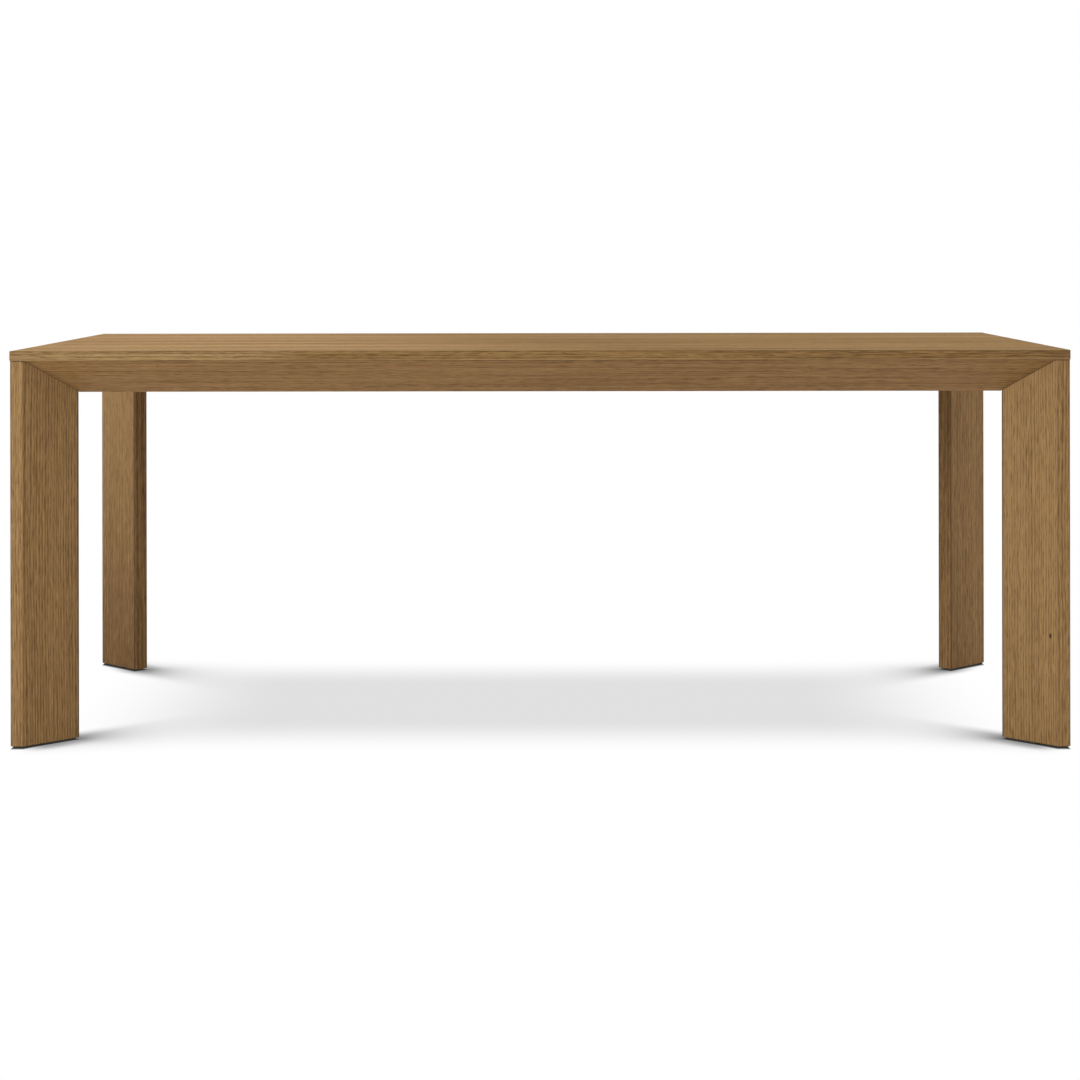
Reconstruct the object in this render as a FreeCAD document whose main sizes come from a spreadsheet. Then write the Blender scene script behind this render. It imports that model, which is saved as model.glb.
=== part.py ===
import FreeCAD, Part
import Sketcher
import math
import os
from FreeCAD import Placement, Rotation, Vector

# Oak dining table in millimetres. A thin veneered top sits on a hollow apron with sloping faces, and
# four plank legs stand on the diagonals of the corners, drawn by bolts against hidden corner blocks.
# The origin is on the floor under the middle of the top, +X runs along the table and -Y is the front.

doc = FreeCAD.newDocument("dining_table")
sheet = doc.addObject("Spreadsheet::Sheet", "Sizes")

SIZES = {
    # The whole table
    "table_length": 2000,
    "table_depth": 950,
    "table_height": 750,
    # The top panel
    "top_thickness": 18,
    "veneer_thickness": 0.6,
    "lipping_width": 10,
    "top_corner_radius": 2,
    "top_edge_ease": 0.4,
    "top_reveal": 1,
    # The legs, each of two boards glued along the diagonal
    "leg_width": 143,
    "leg_board_thickness": 18,
    "leg_corner_radius": 2.5,
    "leg_edge_radius": 2,
    "leg_slot_gap": 0.5,
    "foot_chamfer": 1.5,
    # The apron
    "apron_drop": 64,
    "fascia_thickness": 18,
    "fascia_foot": 3.5,
    "fascia_edge_radius": 1.5,
    "inner_rail_thickness": 22,
    # The cross rails and their dowels
    "cross_rail_thickness": 22,
    "cross_rail_drop": 46,
    "cross_rail_spacing": 640,
    "dowel_diameter": 8,
    "dowel_in_rail": 16,
    "dowel_in_cross_rail": 18,
    "dowel_spacing": 24,
    # The corner blocks
    "block_wing": 40,
    "block_height": 58,
    "block_screw_grip": 10,
    "block_screw_reach": 17,
    # The bolts that draw the legs in
    "bolt_diameter": 8,
    "bolt_head_diameter": 13,
    "bolt_head_height": 8,
    "bolt_head_ease": 1,
    "bolt_socket": 6,
    "bolt_socket_depth": 4,
    "bolt_engagement": 22,
    "bolt_spacing": 30,
    "bolt_play": 0.5,
    "washer_diameter": 18,
    "washer_thickness": 1.6,
    "insert_diameter": 12,
    "insert_length": 25,
    # The brackets between the apron and the top, and the wood screws
    "bracket_leg": 30,
    "bracket_width": 20,
    "bracket_thickness": 2,
    "bracket_spacing": 560,
    "bracket_hole_inset": 10,
    "bracket_screw_reach": 14,
    "screw_diameter": 4,
    "screw_point": 4,
    "screw_head_diameter": 8,
    "screw_head_height": 2.6,
    "screw_head_ease": 1.3,
    # The levelling feet
    "foot_gap": 3.5,
    "foot_inset": 76,
    "foot_insert_diameter": 14,
    "foot_insert_length": 20,
    "stem_diameter": 8,
    "stem_reach": 32,
    "stem_play": 1,
    "pad_diameter": 30,
    "pad_edge": 0.8,
    "pad_floor": 1.2,
    "pad_clearance": 0.3,
    # Fits, and the eased ends of dowels, bolts and stems
    "fit_clearance": 0.05,
    "hole_end_room": 1,
    "rod_end_ease": 1,
}
for row, (alias, size) in enumerate(SIZES.items(), start=1):
    sheet.set(f"A{row}", alias)
    sheet.set(f"B{row}", str(size))
    sheet.setAlias(f"B{row}", alias)
doc.recompute()

# Heights and the legs' outer corners
UNDERSIDE = "(Sizes.table_height - Sizes.top_thickness)"
CORNER_X = "(Sizes.table_length / 2 - Sizes.top_reveal)"
CORNER_Y = "(Sizes.table_depth / 2 - Sizes.top_reveal)"
CORE_THICKNESS = "(Sizes.top_thickness - 2 * Sizes.veneer_thickness)"

# Depths into the apron, measured in from the line of the legs' outer corners
SETBACK = "((Sizes.leg_width - Sizes.leg_board_thickness) / sqrt(2))"
RAIL_FACE = f"({SETBACK} + Sizes.fascia_foot)"
FRAME_INSIDE = f"({RAIL_FACE} + Sizes.inner_rail_thickness)"
HALF_CLEAR_DEPTH = f"({CORNER_Y} - {FRAME_INSIDE})"

# The slot that the leg slides into, and the corner block behind it, measured along the diagonal
HALF_SLOT = "(Sizes.leg_board_thickness + Sizes.leg_slot_gap)"
SLOT_EDGE = f"({HALF_SLOT} * sqrt(2))"
SHOULDER = f"({FRAME_INSIDE} * sqrt(2) + {HALF_SLOT})"
WING = "(Sizes.block_wing / sqrt(2))"
BLOCK_BACK = f"({SHOULDER} + {WING})"
WING_MIDDLE = f"({FRAME_INSIDE} + {SLOT_EDGE} + Sizes.block_wing / 2)"

# Heights below the top's underside
BOLT_DROPS = [
    "(Sizes.block_height / 2 - Sizes.bolt_spacing / 2)",
    "(Sizes.block_height / 2 + Sizes.bolt_spacing / 2)",
]
DOWEL_DROPS = [
    "(Sizes.cross_rail_drop / 2 - Sizes.dowel_spacing / 2)",
    "(Sizes.cross_rail_drop / 2 + Sizes.dowel_spacing / 2)",
]
BRACKET_SCREW_OFFSET = "(Sizes.bracket_leg - Sizes.bracket_hole_inset)"

# Hole sizes
SCREW_PILOT = "(Sizes.screw_diameter + 2 * Sizes.fit_clearance)"
SCREW_PASSAGE = "(Sizes.screw_diameter + 2 * Sizes.bolt_play)"
SCREW_COUNTERBORE = "(Sizes.screw_head_diameter + 2 * Sizes.bolt_play)"
BOLT_PASSAGE = "(Sizes.bolt_diameter + 2 * Sizes.bolt_play)"
DOWEL_HOLE = "(Sizes.dowel_diameter + 2 * Sizes.fit_clearance)"
INSERT_HOLE = "(Sizes.insert_diameter + 2 * Sizes.fit_clearance)"
FOOT_INSERT_HOLE = "(Sizes.foot_insert_diameter + 2 * Sizes.fit_clearance)"

# The largest share of an edge's own thickness that its easing may take
EASE_SHARE = "0.8"

# Sides by the direction that they run in, round the table from the front, and half the length of their run
SIDES = {
    "front": (Vector(1, 0, 0), CORNER_X),
    "right": (Vector(0, 1, 0), CORNER_Y),
    "back": (Vector(-1, 0, 0), CORNER_X),
    "left": (Vector(0, -1, 0), CORNER_Y),
}
LONG_SIDES = ("front", "back")

# Corners by the direction of their inward diagonal
CORNERS = {
    "front_left": Vector(1, 1, 0),
    "front_right": Vector(-1, 1, 0),
    "back_right": Vector(-1, -1, 0),
    "back_left": Vector(1, -1, 0),
}

UPRIGHT = Vector(0, 0, 1)
SAME_PLACE = 1e-4
pieces = []


def value(expression):
    """The number that an expression of the sheet's sizes comes to."""
    return float(sheet.evalExpression(expression))


def turned(direction):
    """The turn about the upright axis that carries +X onto a direction."""
    return Rotation(UPRIGHT, math.degrees(math.atan2(direction.y, direction.x)))


def on_side(side, along, inward):
    """The x and y expressions of a point on a side: along its run, and inward from its outer line."""
    return {
        "front": (along, f"-({CORNER_Y} - {inward})"),
        "right": (f"({CORNER_X} - {inward})", along),
        "back": (along, f"({CORNER_Y} - {inward})"),
        "left": (f"-({CORNER_X} - {inward})", along),
    }[side]


def on_diagonal(inward, reach):
    """The x and y expressions of a point on a corner's diagonal, at a distance in from the outer corner."""
    sign_x = "-" if inward.x > 0 else ""
    sign_y = "-" if inward.y > 0 else ""
    return f"{sign_x}({CORNER_X} - {reach} / sqrt(2))", f"{sign_y}({CORNER_Y} - {reach} / sqrt(2))"


def place(thing, x, y, z, rotation=Rotation()):
    """Set a thing's turn, and bind its position to the sheet."""
    thing.Placement = Placement(Vector(), rotation)
    for axis, expression in zip("xyz", (x, y, z)):
        thing.setExpression(f"Placement.Base.{axis}", expression)


def new_body(label):
    """An empty body with a plain name."""
    body = doc.addObject("PartDesign::Body", label)
    body.Label = label
    return body


def origin_plane(body, role):
    """One of a body's own origin planes."""
    return next(plane for plane in body.Origin.OriginFeatures if plane.Role == role)


def new_sketch(body, role, offset="0"):
    """A sketch on a body's origin plane, moved along the plane's normal by an offset."""
    sketch = body.newObject("Sketcher::SketchObject", f"{body.Label}_sketch")
    sketch.AttachmentSupport = [(origin_plane(body, role), "")]
    sketch.MapMode = "FlatFace"
    sketch.setExpression("AttachmentOffset.Base.z", offset)
    return sketch


def hold(sketch, geometry, point, x, y):
    """Hold one point of a sketch at a place given by expressions."""
    for kind, axis, expression in (("DistanceX", -2, x), ("DistanceY", -1, y)):
        if expression == "0":
            sketch.addConstraint(Sketcher.Constraint("PointOnObject", geometry, point, axis))
        else:
            held = Sketcher.Constraint(kind, -1, 1, geometry, point, value(expression))
            index = sketch.addConstraint(held)
            sketch.setExpression(f"Constraints[{index}]", expression)


def outline(sketch, path):
    """A closed outline through (x, y) corners; (x, y, centre x, centre y) ends an arc about that centre."""
    corners = [Vector(value(corner[0]), value(corner[1]), 0) for corner in path]
    runs = []
    for index, corner in enumerate(path):
        start = corners[index - 1]
        end = corners[index]
        if len(corner) == 2:
            geometry = sketch.addGeometry(Part.LineSegment(start, end))
            runs.append((geometry, 1, 2))
            continue
        centre = Vector(value(corner[2]), value(corner[3]), 0)
        circle = Part.Circle(centre, UPRIGHT, start.distanceToPoint(centre))
        leftward = (start - centre).cross(end - centre).z > 0
        first, last = (start, end) if leftward else (end, start)
        arc = Part.ArcOfCircle(circle, circle.parameter(first), circle.parameter(last))
        geometry = sketch.addGeometry(arc)
        runs.append((geometry, 1, 2) if leftward else (geometry, 2, 1))
    for (geometry, _, end), (following, start, _) in zip(runs, runs[1:] + runs[:1]):
        sketch.addConstraint(Sketcher.Constraint("Coincident", geometry, end, following, start))
    for (geometry, _, end), corner in zip(runs, path):
        hold(sketch, geometry, end, corner[0], corner[1])
        if len(corner) == 4:
            centre_x = Sketcher.Constraint("DistanceX", -1, 1, geometry, 3, value(corner[2]))
            index = sketch.addConstraint(centre_x)
            sketch.setExpression(f"Constraints[{index}]", corner[2])


def circles(sketch, centres, diameter):
    """Circles of one diameter about (x, y) centres."""
    for x, y in centres:
        centre = Vector(value(x), value(y), 0)
        geometry = sketch.addGeometry(Part.Circle(centre, UPRIGHT, value(diameter) / 2))
        hold(sketch, geometry, 3, x, y)
        across = Sketcher.Constraint("Diameter", geometry, value(diameter))
        index = sketch.addConstraint(across)
        sketch.setExpression(f"Constraints[{index}]", diameter)


def pad(body, sketch, length, downwards=False, both_ways=False):
    """Give a sketch its thickness."""
    feature = body.newObject("PartDesign::Pad", f"{body.Label}_pad")
    feature.Profile = sketch
    feature.Reversed = downwards
    feature.SideType = "Symmetric" if both_ways else "One side"
    feature.setExpression("Length", length)
    doc.recompute()
    return feature


def pocket(body, sketch, depth=None, forwards=False):
    """Cut a sketch into a body, against its normal or forwards along it, through all if no depth is given."""
    volume = body.Shape.Volume
    feature = body.newObject("PartDesign::Pocket", f"{body.Label}_pocket")
    feature.Profile = sketch
    feature.Reversed = forwards
    feature.Type = "ThroughAll" if depth is None else "Length"
    if depth is not None:
        feature.setExpression("Length", depth)
    doc.recompute()
    if body.Shape.Volume >= volume:
        raise RuntimeError(f"a pocket cut nothing from {body.Label}")
    return feature


def turn_solid(body, path):
    """Revolve an outline of (radius, height) corners about the body's upright axis."""
    sketch = new_sketch(body, "XZ_Plane")
    outline(sketch, path)
    feature = body.newObject("PartDesign::Revolution", f"{body.Label}_revolution")
    feature.Profile = sketch
    feature.ReferenceAxis = (sketch, ["V_Axis"])
    feature.Angle = 360
    doc.recompute()
    return feature


def edges_where(feature, test):
    """Names of a feature's edges whose every vertex passes a test."""
    edges = enumerate(feature.Shape.Edges, start=1)
    return [f"Edge{number}" for number, edge in edges if all(test(v.Point) for v in edge.Vertexes)]


def near(point_value, expression):
    """Whether a coordinate is at the place that an expression gives."""
    return abs(point_value - value(expression)) < SAME_PLACE


def runs_upright(edge):
    """Whether an edge's two ends lie one above the other."""
    first, last = (vertex.Point for vertex in edge.Vertexes)
    return (last - first).cross(UPRIGHT).Length < SAME_PLACE


def round_edges(body, feature, names, radius):
    """Round the named edges of a body's last feature."""
    fillet = body.newObject("PartDesign::Fillet", f"{body.Label}_fillet")
    fillet.Base = (feature, names)
    fillet.setExpression("Radius", radius)
    doc.recompute()
    return fillet


def bevel_edges(body, feature, names, size):
    """Chamfer the named edges of a body's last feature."""
    chamfer = body.newObject("PartDesign::Chamfer", f"{body.Label}_chamfer")
    chamfer.Base = (feature, names)
    chamfer.setExpression("Size", size)
    doc.recompute()
    return chamfer


def group(label, pattern, seats):
    """One node of like pieces: links to a pattern body, each at its own (x, y, z, rotation)."""
    links = []
    for number, (x, y, z, rotation) in enumerate(seats, start=1):
        link = doc.addObject("App::Link", f"{label}_{number}")
        link.setLink(pattern)
        place(link, x, y, z, rotation)
        links.append(link)
    compound = doc.addObject("Part::Compound", label)
    compound.Label = label
    compound.Links = links
    pieces.append(compound)


def pointing(direction):
    """The turn that points a fastener, modelled head up, along a direction."""
    return Rotation(-UPRIGHT, direction)


# Top panel: a core with solid lippings on its edges, veneered over both on both faces
def rounded_rectangle(half_x, half_y, radius):
    """Outline of a rectangle about the origin with rounded corners."""
    straight_x = f"({half_x} - {radius})"
    straight_y = f"({half_y} - {radius})"
    path = []
    for sign_x, sign_y in (("", "-"), ("", ""), ("-", ""), ("-", "-")):
        end_of_side = (f"{sign_x}{half_x}", f"{sign_y}{straight_y}")
        end_of_front = (f"{sign_x}{straight_x}", f"{sign_y}{half_y}")
        centre = (f"{sign_x}{straight_x}", f"{sign_y}{straight_y}")
        arc_starts_on_side = sign_x == sign_y
        first, last = (end_of_side, end_of_front) if arc_starts_on_side else (end_of_front, end_of_side)
        path.append(first)
        path.append(last + centre)
    return path


def top_sheet(label, height, face):
    """A veneer sheet over the whole top, its outer edge eased on the face that shows."""
    body = new_body(label)
    plan = new_sketch(body, "XY_Plane")
    half_length = "(Sizes.table_length / 2)"
    half_depth = "(Sizes.table_depth / 2)"
    outline(plan, rounded_rectangle(half_length, half_depth, "Sizes.top_corner_radius"))
    flat_sheet = pad(body, plan, "Sizes.veneer_thickness")
    shown_edges = edges_where(flat_sheet, lambda point: near(point.z, face))
    ease = f"min(Sizes.top_edge_ease; {EASE_SHARE} * Sizes.veneer_thickness)"
    bevel_edges(body, flat_sheet, shown_edges, ease)
    place(body, "0", "0", height)
    return body


def bracket_seats():
    """Each bracket's seat on its rail: the side, and the place along its run."""
    seats = []
    for side in SIDES:
        offsets = ("-Sizes.bracket_spacing", "0", "Sizes.bracket_spacing") if side in LONG_SIDES else ("0",)
        seats += [(side, along) for along in offsets]
    return seats


def bracket_screws_in_top():
    """The x and y expressions of the places where the bracket screws enter the top."""
    inward = f"({FRAME_INSIDE} + {BRACKET_SCREW_OFFSET})"
    return [on_side(side, along, inward) for side, along in bracket_seats()]


def screw_holes_up(body):
    """A sketch of pilot holes for the bracket screws, on a panel's lower face."""
    sketch = new_sketch(body, "XY_Plane")
    circles(sketch, bracket_screws_in_top(), SCREW_PILOT)
    return sketch


core = new_body("top_core")
core_x = "(Sizes.table_length / 2 - Sizes.lipping_width)"
core_y = "(Sizes.table_depth / 2 - Sizes.lipping_width)"
core_plan = new_sketch(core, "XY_Plane")
outline(core_plan, [
    (f"-{core_x}", f"-{core_y}"),
    (core_x, f"-{core_y}"),
    (core_x, core_y),
    (f"-{core_x}", core_y),
])
pad(core, core_plan, CORE_THICKNESS)
depth_in_core = "Sizes.bracket_screw_reach - Sizes.veneer_thickness + Sizes.hole_end_room"
pocket(core, screw_holes_up(core), depth_in_core, True)
place(core, "0", "0", f"{UNDERSIDE} + Sizes.veneer_thickness")
pieces.append(core)

veneer_height = "Sizes.table_height - Sizes.veneer_thickness"
pieces.append(top_sheet("top_veneer", veneer_height, "Sizes.veneer_thickness"))
backing = top_sheet("backing_veneer", UNDERSIDE, "0")
pocket(backing, screw_holes_up(backing), None, True)
pieces.append(backing)

for side, (direction, corner_distance) in SIDES.items():
    lipping = new_body(f"lipping_{side}")
    half_run = f"({corner_distance} + Sizes.top_reveal)"
    straight = f"({half_run} - Sizes.top_corner_radius)"
    mitre_x = f"({straight} + Sizes.top_corner_radius / sqrt(2))"
    mitre_y = "(Sizes.top_corner_radius - Sizes.top_corner_radius / sqrt(2))"
    inner = f"({half_run} - Sizes.lipping_width)"
    lipping_plan = new_sketch(lipping, "XY_Plane")
    outline(lipping_plan, [
        (straight, "0"),
        (mitre_x, mitre_y, straight, "Sizes.top_corner_radius"),
        (inner, "Sizes.lipping_width"),
        (f"-{inner}", "Sizes.lipping_width"),
        (f"-{mitre_x}", mitre_y),
        (f"-{straight}", "0", f"-{straight}", "Sizes.top_corner_radius"),
    ])
    pad(lipping, lipping_plan, CORE_THICKNESS)
    x, y = on_side(side, "0", "-Sizes.top_reveal")
    place(lipping, x, y, f"{UNDERSIDE} + Sizes.veneer_thickness", turned(direction))
    pieces.append(lipping)


# Apron: sloping fascia boards, mitred to the legs' faces, with upright rails behind them
def cut_ends(body, half_run):
    """Cut both ends of an apron board along the faces of the legs' slots."""
    sketch = new_sketch(body, "XY_Plane")
    past = "Sizes.inner_rail_thickness"
    for sign in ("-", ""):
        outline(sketch, [
            (f"{sign}({half_run} - {SLOT_EDGE} + {past})", f"-{past}"),
            (f"{sign}({half_run} - {SLOT_EDGE} - {FRAME_INSIDE})", FRAME_INSIDE),
            (f"{sign}({half_run} + {past})", FRAME_INSIDE),
            (f"{sign}({half_run} + {past})", f"-{past}"),
        ])
    pocket(body, sketch)


def fascia(side, half_run):
    """A sloping board with level edges, cut upright where it meets the rail behind it."""
    body = new_body(f"fascia_{side}")
    slope_length = f"sqrt(Sizes.apron_drop ^ 2 + {SETBACK} ^ 2)"
    level_thickness = f"(Sizes.fascia_thickness * {slope_length} / Sizes.apron_drop)"
    back_height = f"(({RAIL_FACE} - {level_thickness}) * Sizes.apron_drop / {SETBACK})"
    section = new_sketch(body, "YZ_Plane")
    outline(section, [
        ("0", "0"),
        (SETBACK, "-Sizes.apron_drop"),
        (RAIL_FACE, "-Sizes.apron_drop"),
        (RAIL_FACE, f"-{back_height}"),
        (level_thickness, "0"),
    ])
    board = pad(body, section, f"2 * {half_run}", both_ways=True)
    radius = f"min(Sizes.fascia_edge_radius; {EASE_SHARE} * Sizes.fascia_foot)"
    round_edges(body, board, edges_where(board, on_foot_edge), radius)
    cut_ends(body, half_run)
    return body


def on_foot_edge(point):
    """Whether a point of a fascia lies on the foot of its sloping face."""
    return near(point.y, SETBACK) and near(point.z, "-Sizes.apron_drop")


def bore_inner_face(body, centres, diameter, depth):
    """Blind holes into a rail from its inner face, with room past the ends of what they hold."""
    sketch = new_sketch(body, "XZ_Plane", f"-{FRAME_INSIDE}")
    circles(sketch, centres, diameter)
    pocket(body, sketch, f"{depth} + Sizes.hole_end_room", True)


def inner_rail(side, half_run):
    """An upright rail, bored on its inner face for the screws and dowels that enter it."""
    body = new_body(f"inner_rail_{side}")
    plan = new_sketch(body, "XY_Plane")
    outer_end = f"({half_run} - {SLOT_EDGE} - {RAIL_FACE})"
    inner_end = f"({half_run} - {SLOT_EDGE} - {FRAME_INSIDE})"
    outline(plan, [
        (f"-{outer_end}", RAIL_FACE),
        (outer_end, RAIL_FACE),
        (inner_end, FRAME_INSIDE),
        (f"-{inner_end}", FRAME_INSIDE),
    ])
    pad(body, plan, "Sizes.apron_drop", downwards=True)

    block_middles = (f"-({half_run} - {WING_MIDDLE})", f"({half_run} - {WING_MIDDLE})")
    block_screws = [(middle, f"-{drop}") for middle in block_middles for drop in BOLT_DROPS]
    bore_inner_face(body, block_screws, SCREW_PILOT, "Sizes.block_screw_reach")

    offsets = [along for seat_side, along in bracket_seats() if seat_side == side]
    bracket_screws = [(along, f"-{BRACKET_SCREW_OFFSET}") for along in offsets]
    bore_inner_face(body, bracket_screws, SCREW_PILOT, "Sizes.bracket_screw_reach")

    if side in LONG_SIDES:
        rail_middles = ("-Sizes.cross_rail_spacing / 2", "Sizes.cross_rail_spacing / 2")
        dowels = [(middle, f"-{drop}") for middle in rail_middles for drop in DOWEL_DROPS]
        bore_inner_face(body, dowels, DOWEL_HOLE, "Sizes.dowel_in_rail")
    return body


for side, (direction, half_run) in SIDES.items():
    x, y = on_side(side, "0", "0")
    for board in (fascia(side, half_run), inner_rail(side, half_run)):
        place(board, x, y, UNDERSIDE, turned(direction))
        pieces.append(board)


# Cross rails: two stiffeners under the top, dowelled between the front and back rails
for side, sign in (("left", "-"), ("right", "")):
    rail = new_body(f"cross_rail_{side}")
    rail_plan = new_sketch(rail, "XY_Plane")
    half_thickness = "(Sizes.cross_rail_thickness / 2)"
    outline(rail_plan, [
        (f"-{HALF_CLEAR_DEPTH}", f"-{half_thickness}"),
        (HALF_CLEAR_DEPTH, f"-{half_thickness}"),
        (HALF_CLEAR_DEPTH, half_thickness),
        (f"-{HALF_CLEAR_DEPTH}", half_thickness),
    ])
    pad(rail, rail_plan, "Sizes.cross_rail_drop", downwards=True)
    end_holes = new_sketch(rail, "YZ_Plane", HALF_CLEAR_DEPTH)
    circles(end_holes, [("0", f"-{drop}") for drop in DOWEL_DROPS], DOWEL_HOLE)
    bored_end = pocket(rail, end_holes, "Sizes.dowel_in_cross_rail + Sizes.hole_end_room")
    other_end = rail.newObject("PartDesign::Mirrored", f"{rail.Label}_mirrored")
    other_end.Originals = [bored_end]
    other_end.MirrorPlane = (origin_plane(rail, "YZ_Plane"), [""])
    rail.Tip = other_end
    place(rail, f"{sign}Sizes.cross_rail_spacing / 2", "0", UNDERSIDE, turned(Vector(0, 1, 0)))
    pieces.append(rail)

dowel = new_body("dowel")
dowel_radius = "(Sizes.dowel_diameter / 2)"
turn_solid(dowel, [
    ("0", "Sizes.dowel_in_cross_rail"),
    (f"{dowel_radius} - Sizes.rod_end_ease", "Sizes.dowel_in_cross_rail"),
    (dowel_radius, "Sizes.dowel_in_cross_rail - Sizes.rod_end_ease"),
    (dowel_radius, "Sizes.rod_end_ease - Sizes.dowel_in_rail"),
    (f"{dowel_radius} - Sizes.rod_end_ease", "-Sizes.dowel_in_rail"),
    ("0", "-Sizes.dowel_in_rail"),
])
dowel_seats = []
for sign_x in ("-", ""):
    for sign_y, into_rail in (("-", Vector(0, -1, 0)), ("", Vector(0, 1, 0))):
        x = f"{sign_x}Sizes.cross_rail_spacing / 2"
        y = f"{sign_y}{HALF_CLEAR_DEPTH}"
        dowel_seats += [(x, y, f"{UNDERSIDE} - {drop}", pointing(into_rail)) for drop in DOWEL_DROPS]
group("cross_rail_dowels", dowel, dowel_seats)


# Corner blocks: a tongue fills the slot behind the leg, and two wings lie on the rails
def wing_screw_sketch(body, hand, diameter):
    """Circles for a wing's screws, on a plane square to the rail at the screw heads' seat."""
    sketch = new_sketch(body, "YZ_Plane")
    seat = f"(({FRAME_INSIDE} + Sizes.block_screw_grip) / sqrt(2))"
    across_the_rail = Vector(-1, 0, 1) if hand else Vector(1, 0, 1)
    sketch.AttachmentOffset = Placement(Vector(), Rotation(UPRIGHT, across_the_rail))
    sketch.setExpression("AttachmentOffset.Base.x", f"{hand}{seat}")
    sketch.setExpression("AttachmentOffset.Base.z", seat)
    along_the_rail = WING_MIDDLE if hand else f"-{WING_MIDDLE}"
    circles(sketch, [(along_the_rail, f"-{drop}") for drop in BOLT_DROPS], diameter)
    return sketch


for corner, inward in CORNERS.items():
    block = new_body(f"corner_block_{corner}")
    block_plan = new_sketch(block, "XY_Plane")
    outline(block_plan, [
        ("Sizes.leg_width", f"-{HALF_SLOT}"),
        (SHOULDER, f"-{HALF_SLOT}"),
        (BLOCK_BACK, f"-({HALF_SLOT} + {WING})"),
        (BLOCK_BACK, f"({HALF_SLOT} + {WING})"),
        (SHOULDER, HALF_SLOT),
        ("Sizes.leg_width", HALF_SLOT),
    ])
    pad(block, block_plan, "Sizes.block_height", downwards=True)
    bolt_holes = new_sketch(block, "YZ_Plane", BLOCK_BACK)
    circles(bolt_holes, [("0", f"-{drop}") for drop in BOLT_DROPS], BOLT_PASSAGE)
    pocket(block, bolt_holes)
    for hand in ("", "-"):
        pocket(block, wing_screw_sketch(block, hand, SCREW_PASSAGE))
        pocket(block, wing_screw_sketch(block, hand, SCREW_COUNTERBORE), None, True)
    x, y = on_diagonal(inward, "0")
    place(block, x, y, UNDERSIDE, turned(inward))
    pieces.append(block)


# Legs: two boards, bevelled at 45 degrees on their outer edge and glued face to face on the diagonal
def leg_board(label, hand):
    """One board of a leg, to the left (hand "") or right (hand "-") of the diagonal."""
    body = new_body(label)
    height = f"({UNDERSIDE} - Sizes.foot_gap)"
    thickness = f"{hand}Sizes.leg_board_thickness"
    radius = "Sizes.leg_corner_radius"
    plan = new_sketch(body, "XY_Plane")
    outline(plan, [
        (f"{radius} * (sqrt(2) - 1)", "0"),
        (f"{radius} / sqrt(2)", f"{hand}{radius} / sqrt(2)", f"{radius} * sqrt(2)", "0"),
        ("Sizes.leg_board_thickness", thickness),
        ("Sizes.leg_width", thickness),
        ("Sizes.leg_width", "0"),
    ])
    board = pad(body, plan, height)
    face_edges = edges_where(board, lambda point: near(point.y, thickness))
    arrises = [name for name in face_edges if runs_upright(board.Shape.getElement(name))]
    eased = round_edges(body, board, arrises, "Sizes.leg_edge_radius")
    foot = edges_where(eased, lambda point: near(point.z, "0"))
    outer = [name for name in foot if not on_glue_line(eased.Shape.getElement(name))]
    widest = f"{EASE_SHARE} * min(Sizes.leg_edge_radius; Sizes.leg_corner_radius)"
    bevel_edges(body, eased, outer, f"min(Sizes.foot_chamfer; {widest})")

    insert_holes = new_sketch(body, "YZ_Plane", "Sizes.leg_width")
    circles(insert_holes, [("0", f"{height} - {drop}") for drop in BOLT_DROPS], INSERT_HOLE)
    pocket(body, insert_holes, "Sizes.insert_length + Sizes.hole_end_room")
    for diameter, depth in (
        (FOOT_INSERT_HOLE, "Sizes.foot_insert_length"),
        ("Sizes.stem_diameter + 2 * Sizes.stem_play", "Sizes.stem_reach + Sizes.hole_end_room"),
    ):
        foot_hole = new_sketch(body, "XY_Plane")
        circles(foot_hole, [("Sizes.foot_inset", "0")], diameter)
        pocket(body, foot_hole, depth, True)
    return body


def on_glue_line(edge):
    """Whether an edge of a leg board lies in the plane where the two boards are glued."""
    return all(near(vertex.Point.y, "0") for vertex in edge.Vertexes)


for corner, inward in CORNERS.items():
    facing = corner.split("_")[0]
    end_is_on_the_left = inward.x * inward.y > 0
    left_of_diagonal, right_of_diagonal = ("end", facing) if end_is_on_the_left else (facing, "end")
    x, y = on_diagonal(inward, "0")
    for hand, face in (("", left_of_diagonal), ("-", right_of_diagonal)):
        board = leg_board(f"leg_{corner}_{face}_board", hand)
        place(board, x, y, "Sizes.foot_gap", turned(inward))
        pieces.append(board)


# Leg fixings: a socket-head bolt and washer behind each hole of a block, and an insert in the leg
def sleeve(label, diameter, length, bore):
    """A threaded insert: a sleeve whose lower end is at its own origin."""
    body = new_body(label)
    plan = new_sketch(body, "XY_Plane")
    circles(plan, [("0", "0")], diameter)
    circles(plan, [("0", "0")], f"{bore} + 2 * Sizes.fit_clearance")
    pad(body, plan, length)
    return body


bolt = new_body("bolt")
bolt_length = f"({BLOCK_BACK} - Sizes.leg_width + Sizes.washer_thickness + Sizes.bolt_engagement)"
bolt_radius = "(Sizes.bolt_diameter / 2)"
head_radius = "(Sizes.bolt_head_diameter / 2)"
turn_solid(bolt, [
    ("0", "Sizes.bolt_head_height"),
    (f"{head_radius} - Sizes.bolt_head_ease", "Sizes.bolt_head_height"),
    (head_radius, "Sizes.bolt_head_height - Sizes.bolt_head_ease"),
    (head_radius, "0"),
    (bolt_radius, "0"),
    (bolt_radius, f"Sizes.rod_end_ease - {bolt_length}"),
    (f"{bolt_radius} - Sizes.rod_end_ease", f"-{bolt_length}"),
    ("0", f"-{bolt_length}"),
])
socket = new_sketch(bolt, "XY_Plane", "Sizes.bolt_head_height")
flat = "(Sizes.bolt_socket / 2)"
point = "(Sizes.bolt_socket / sqrt(3))"
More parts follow.
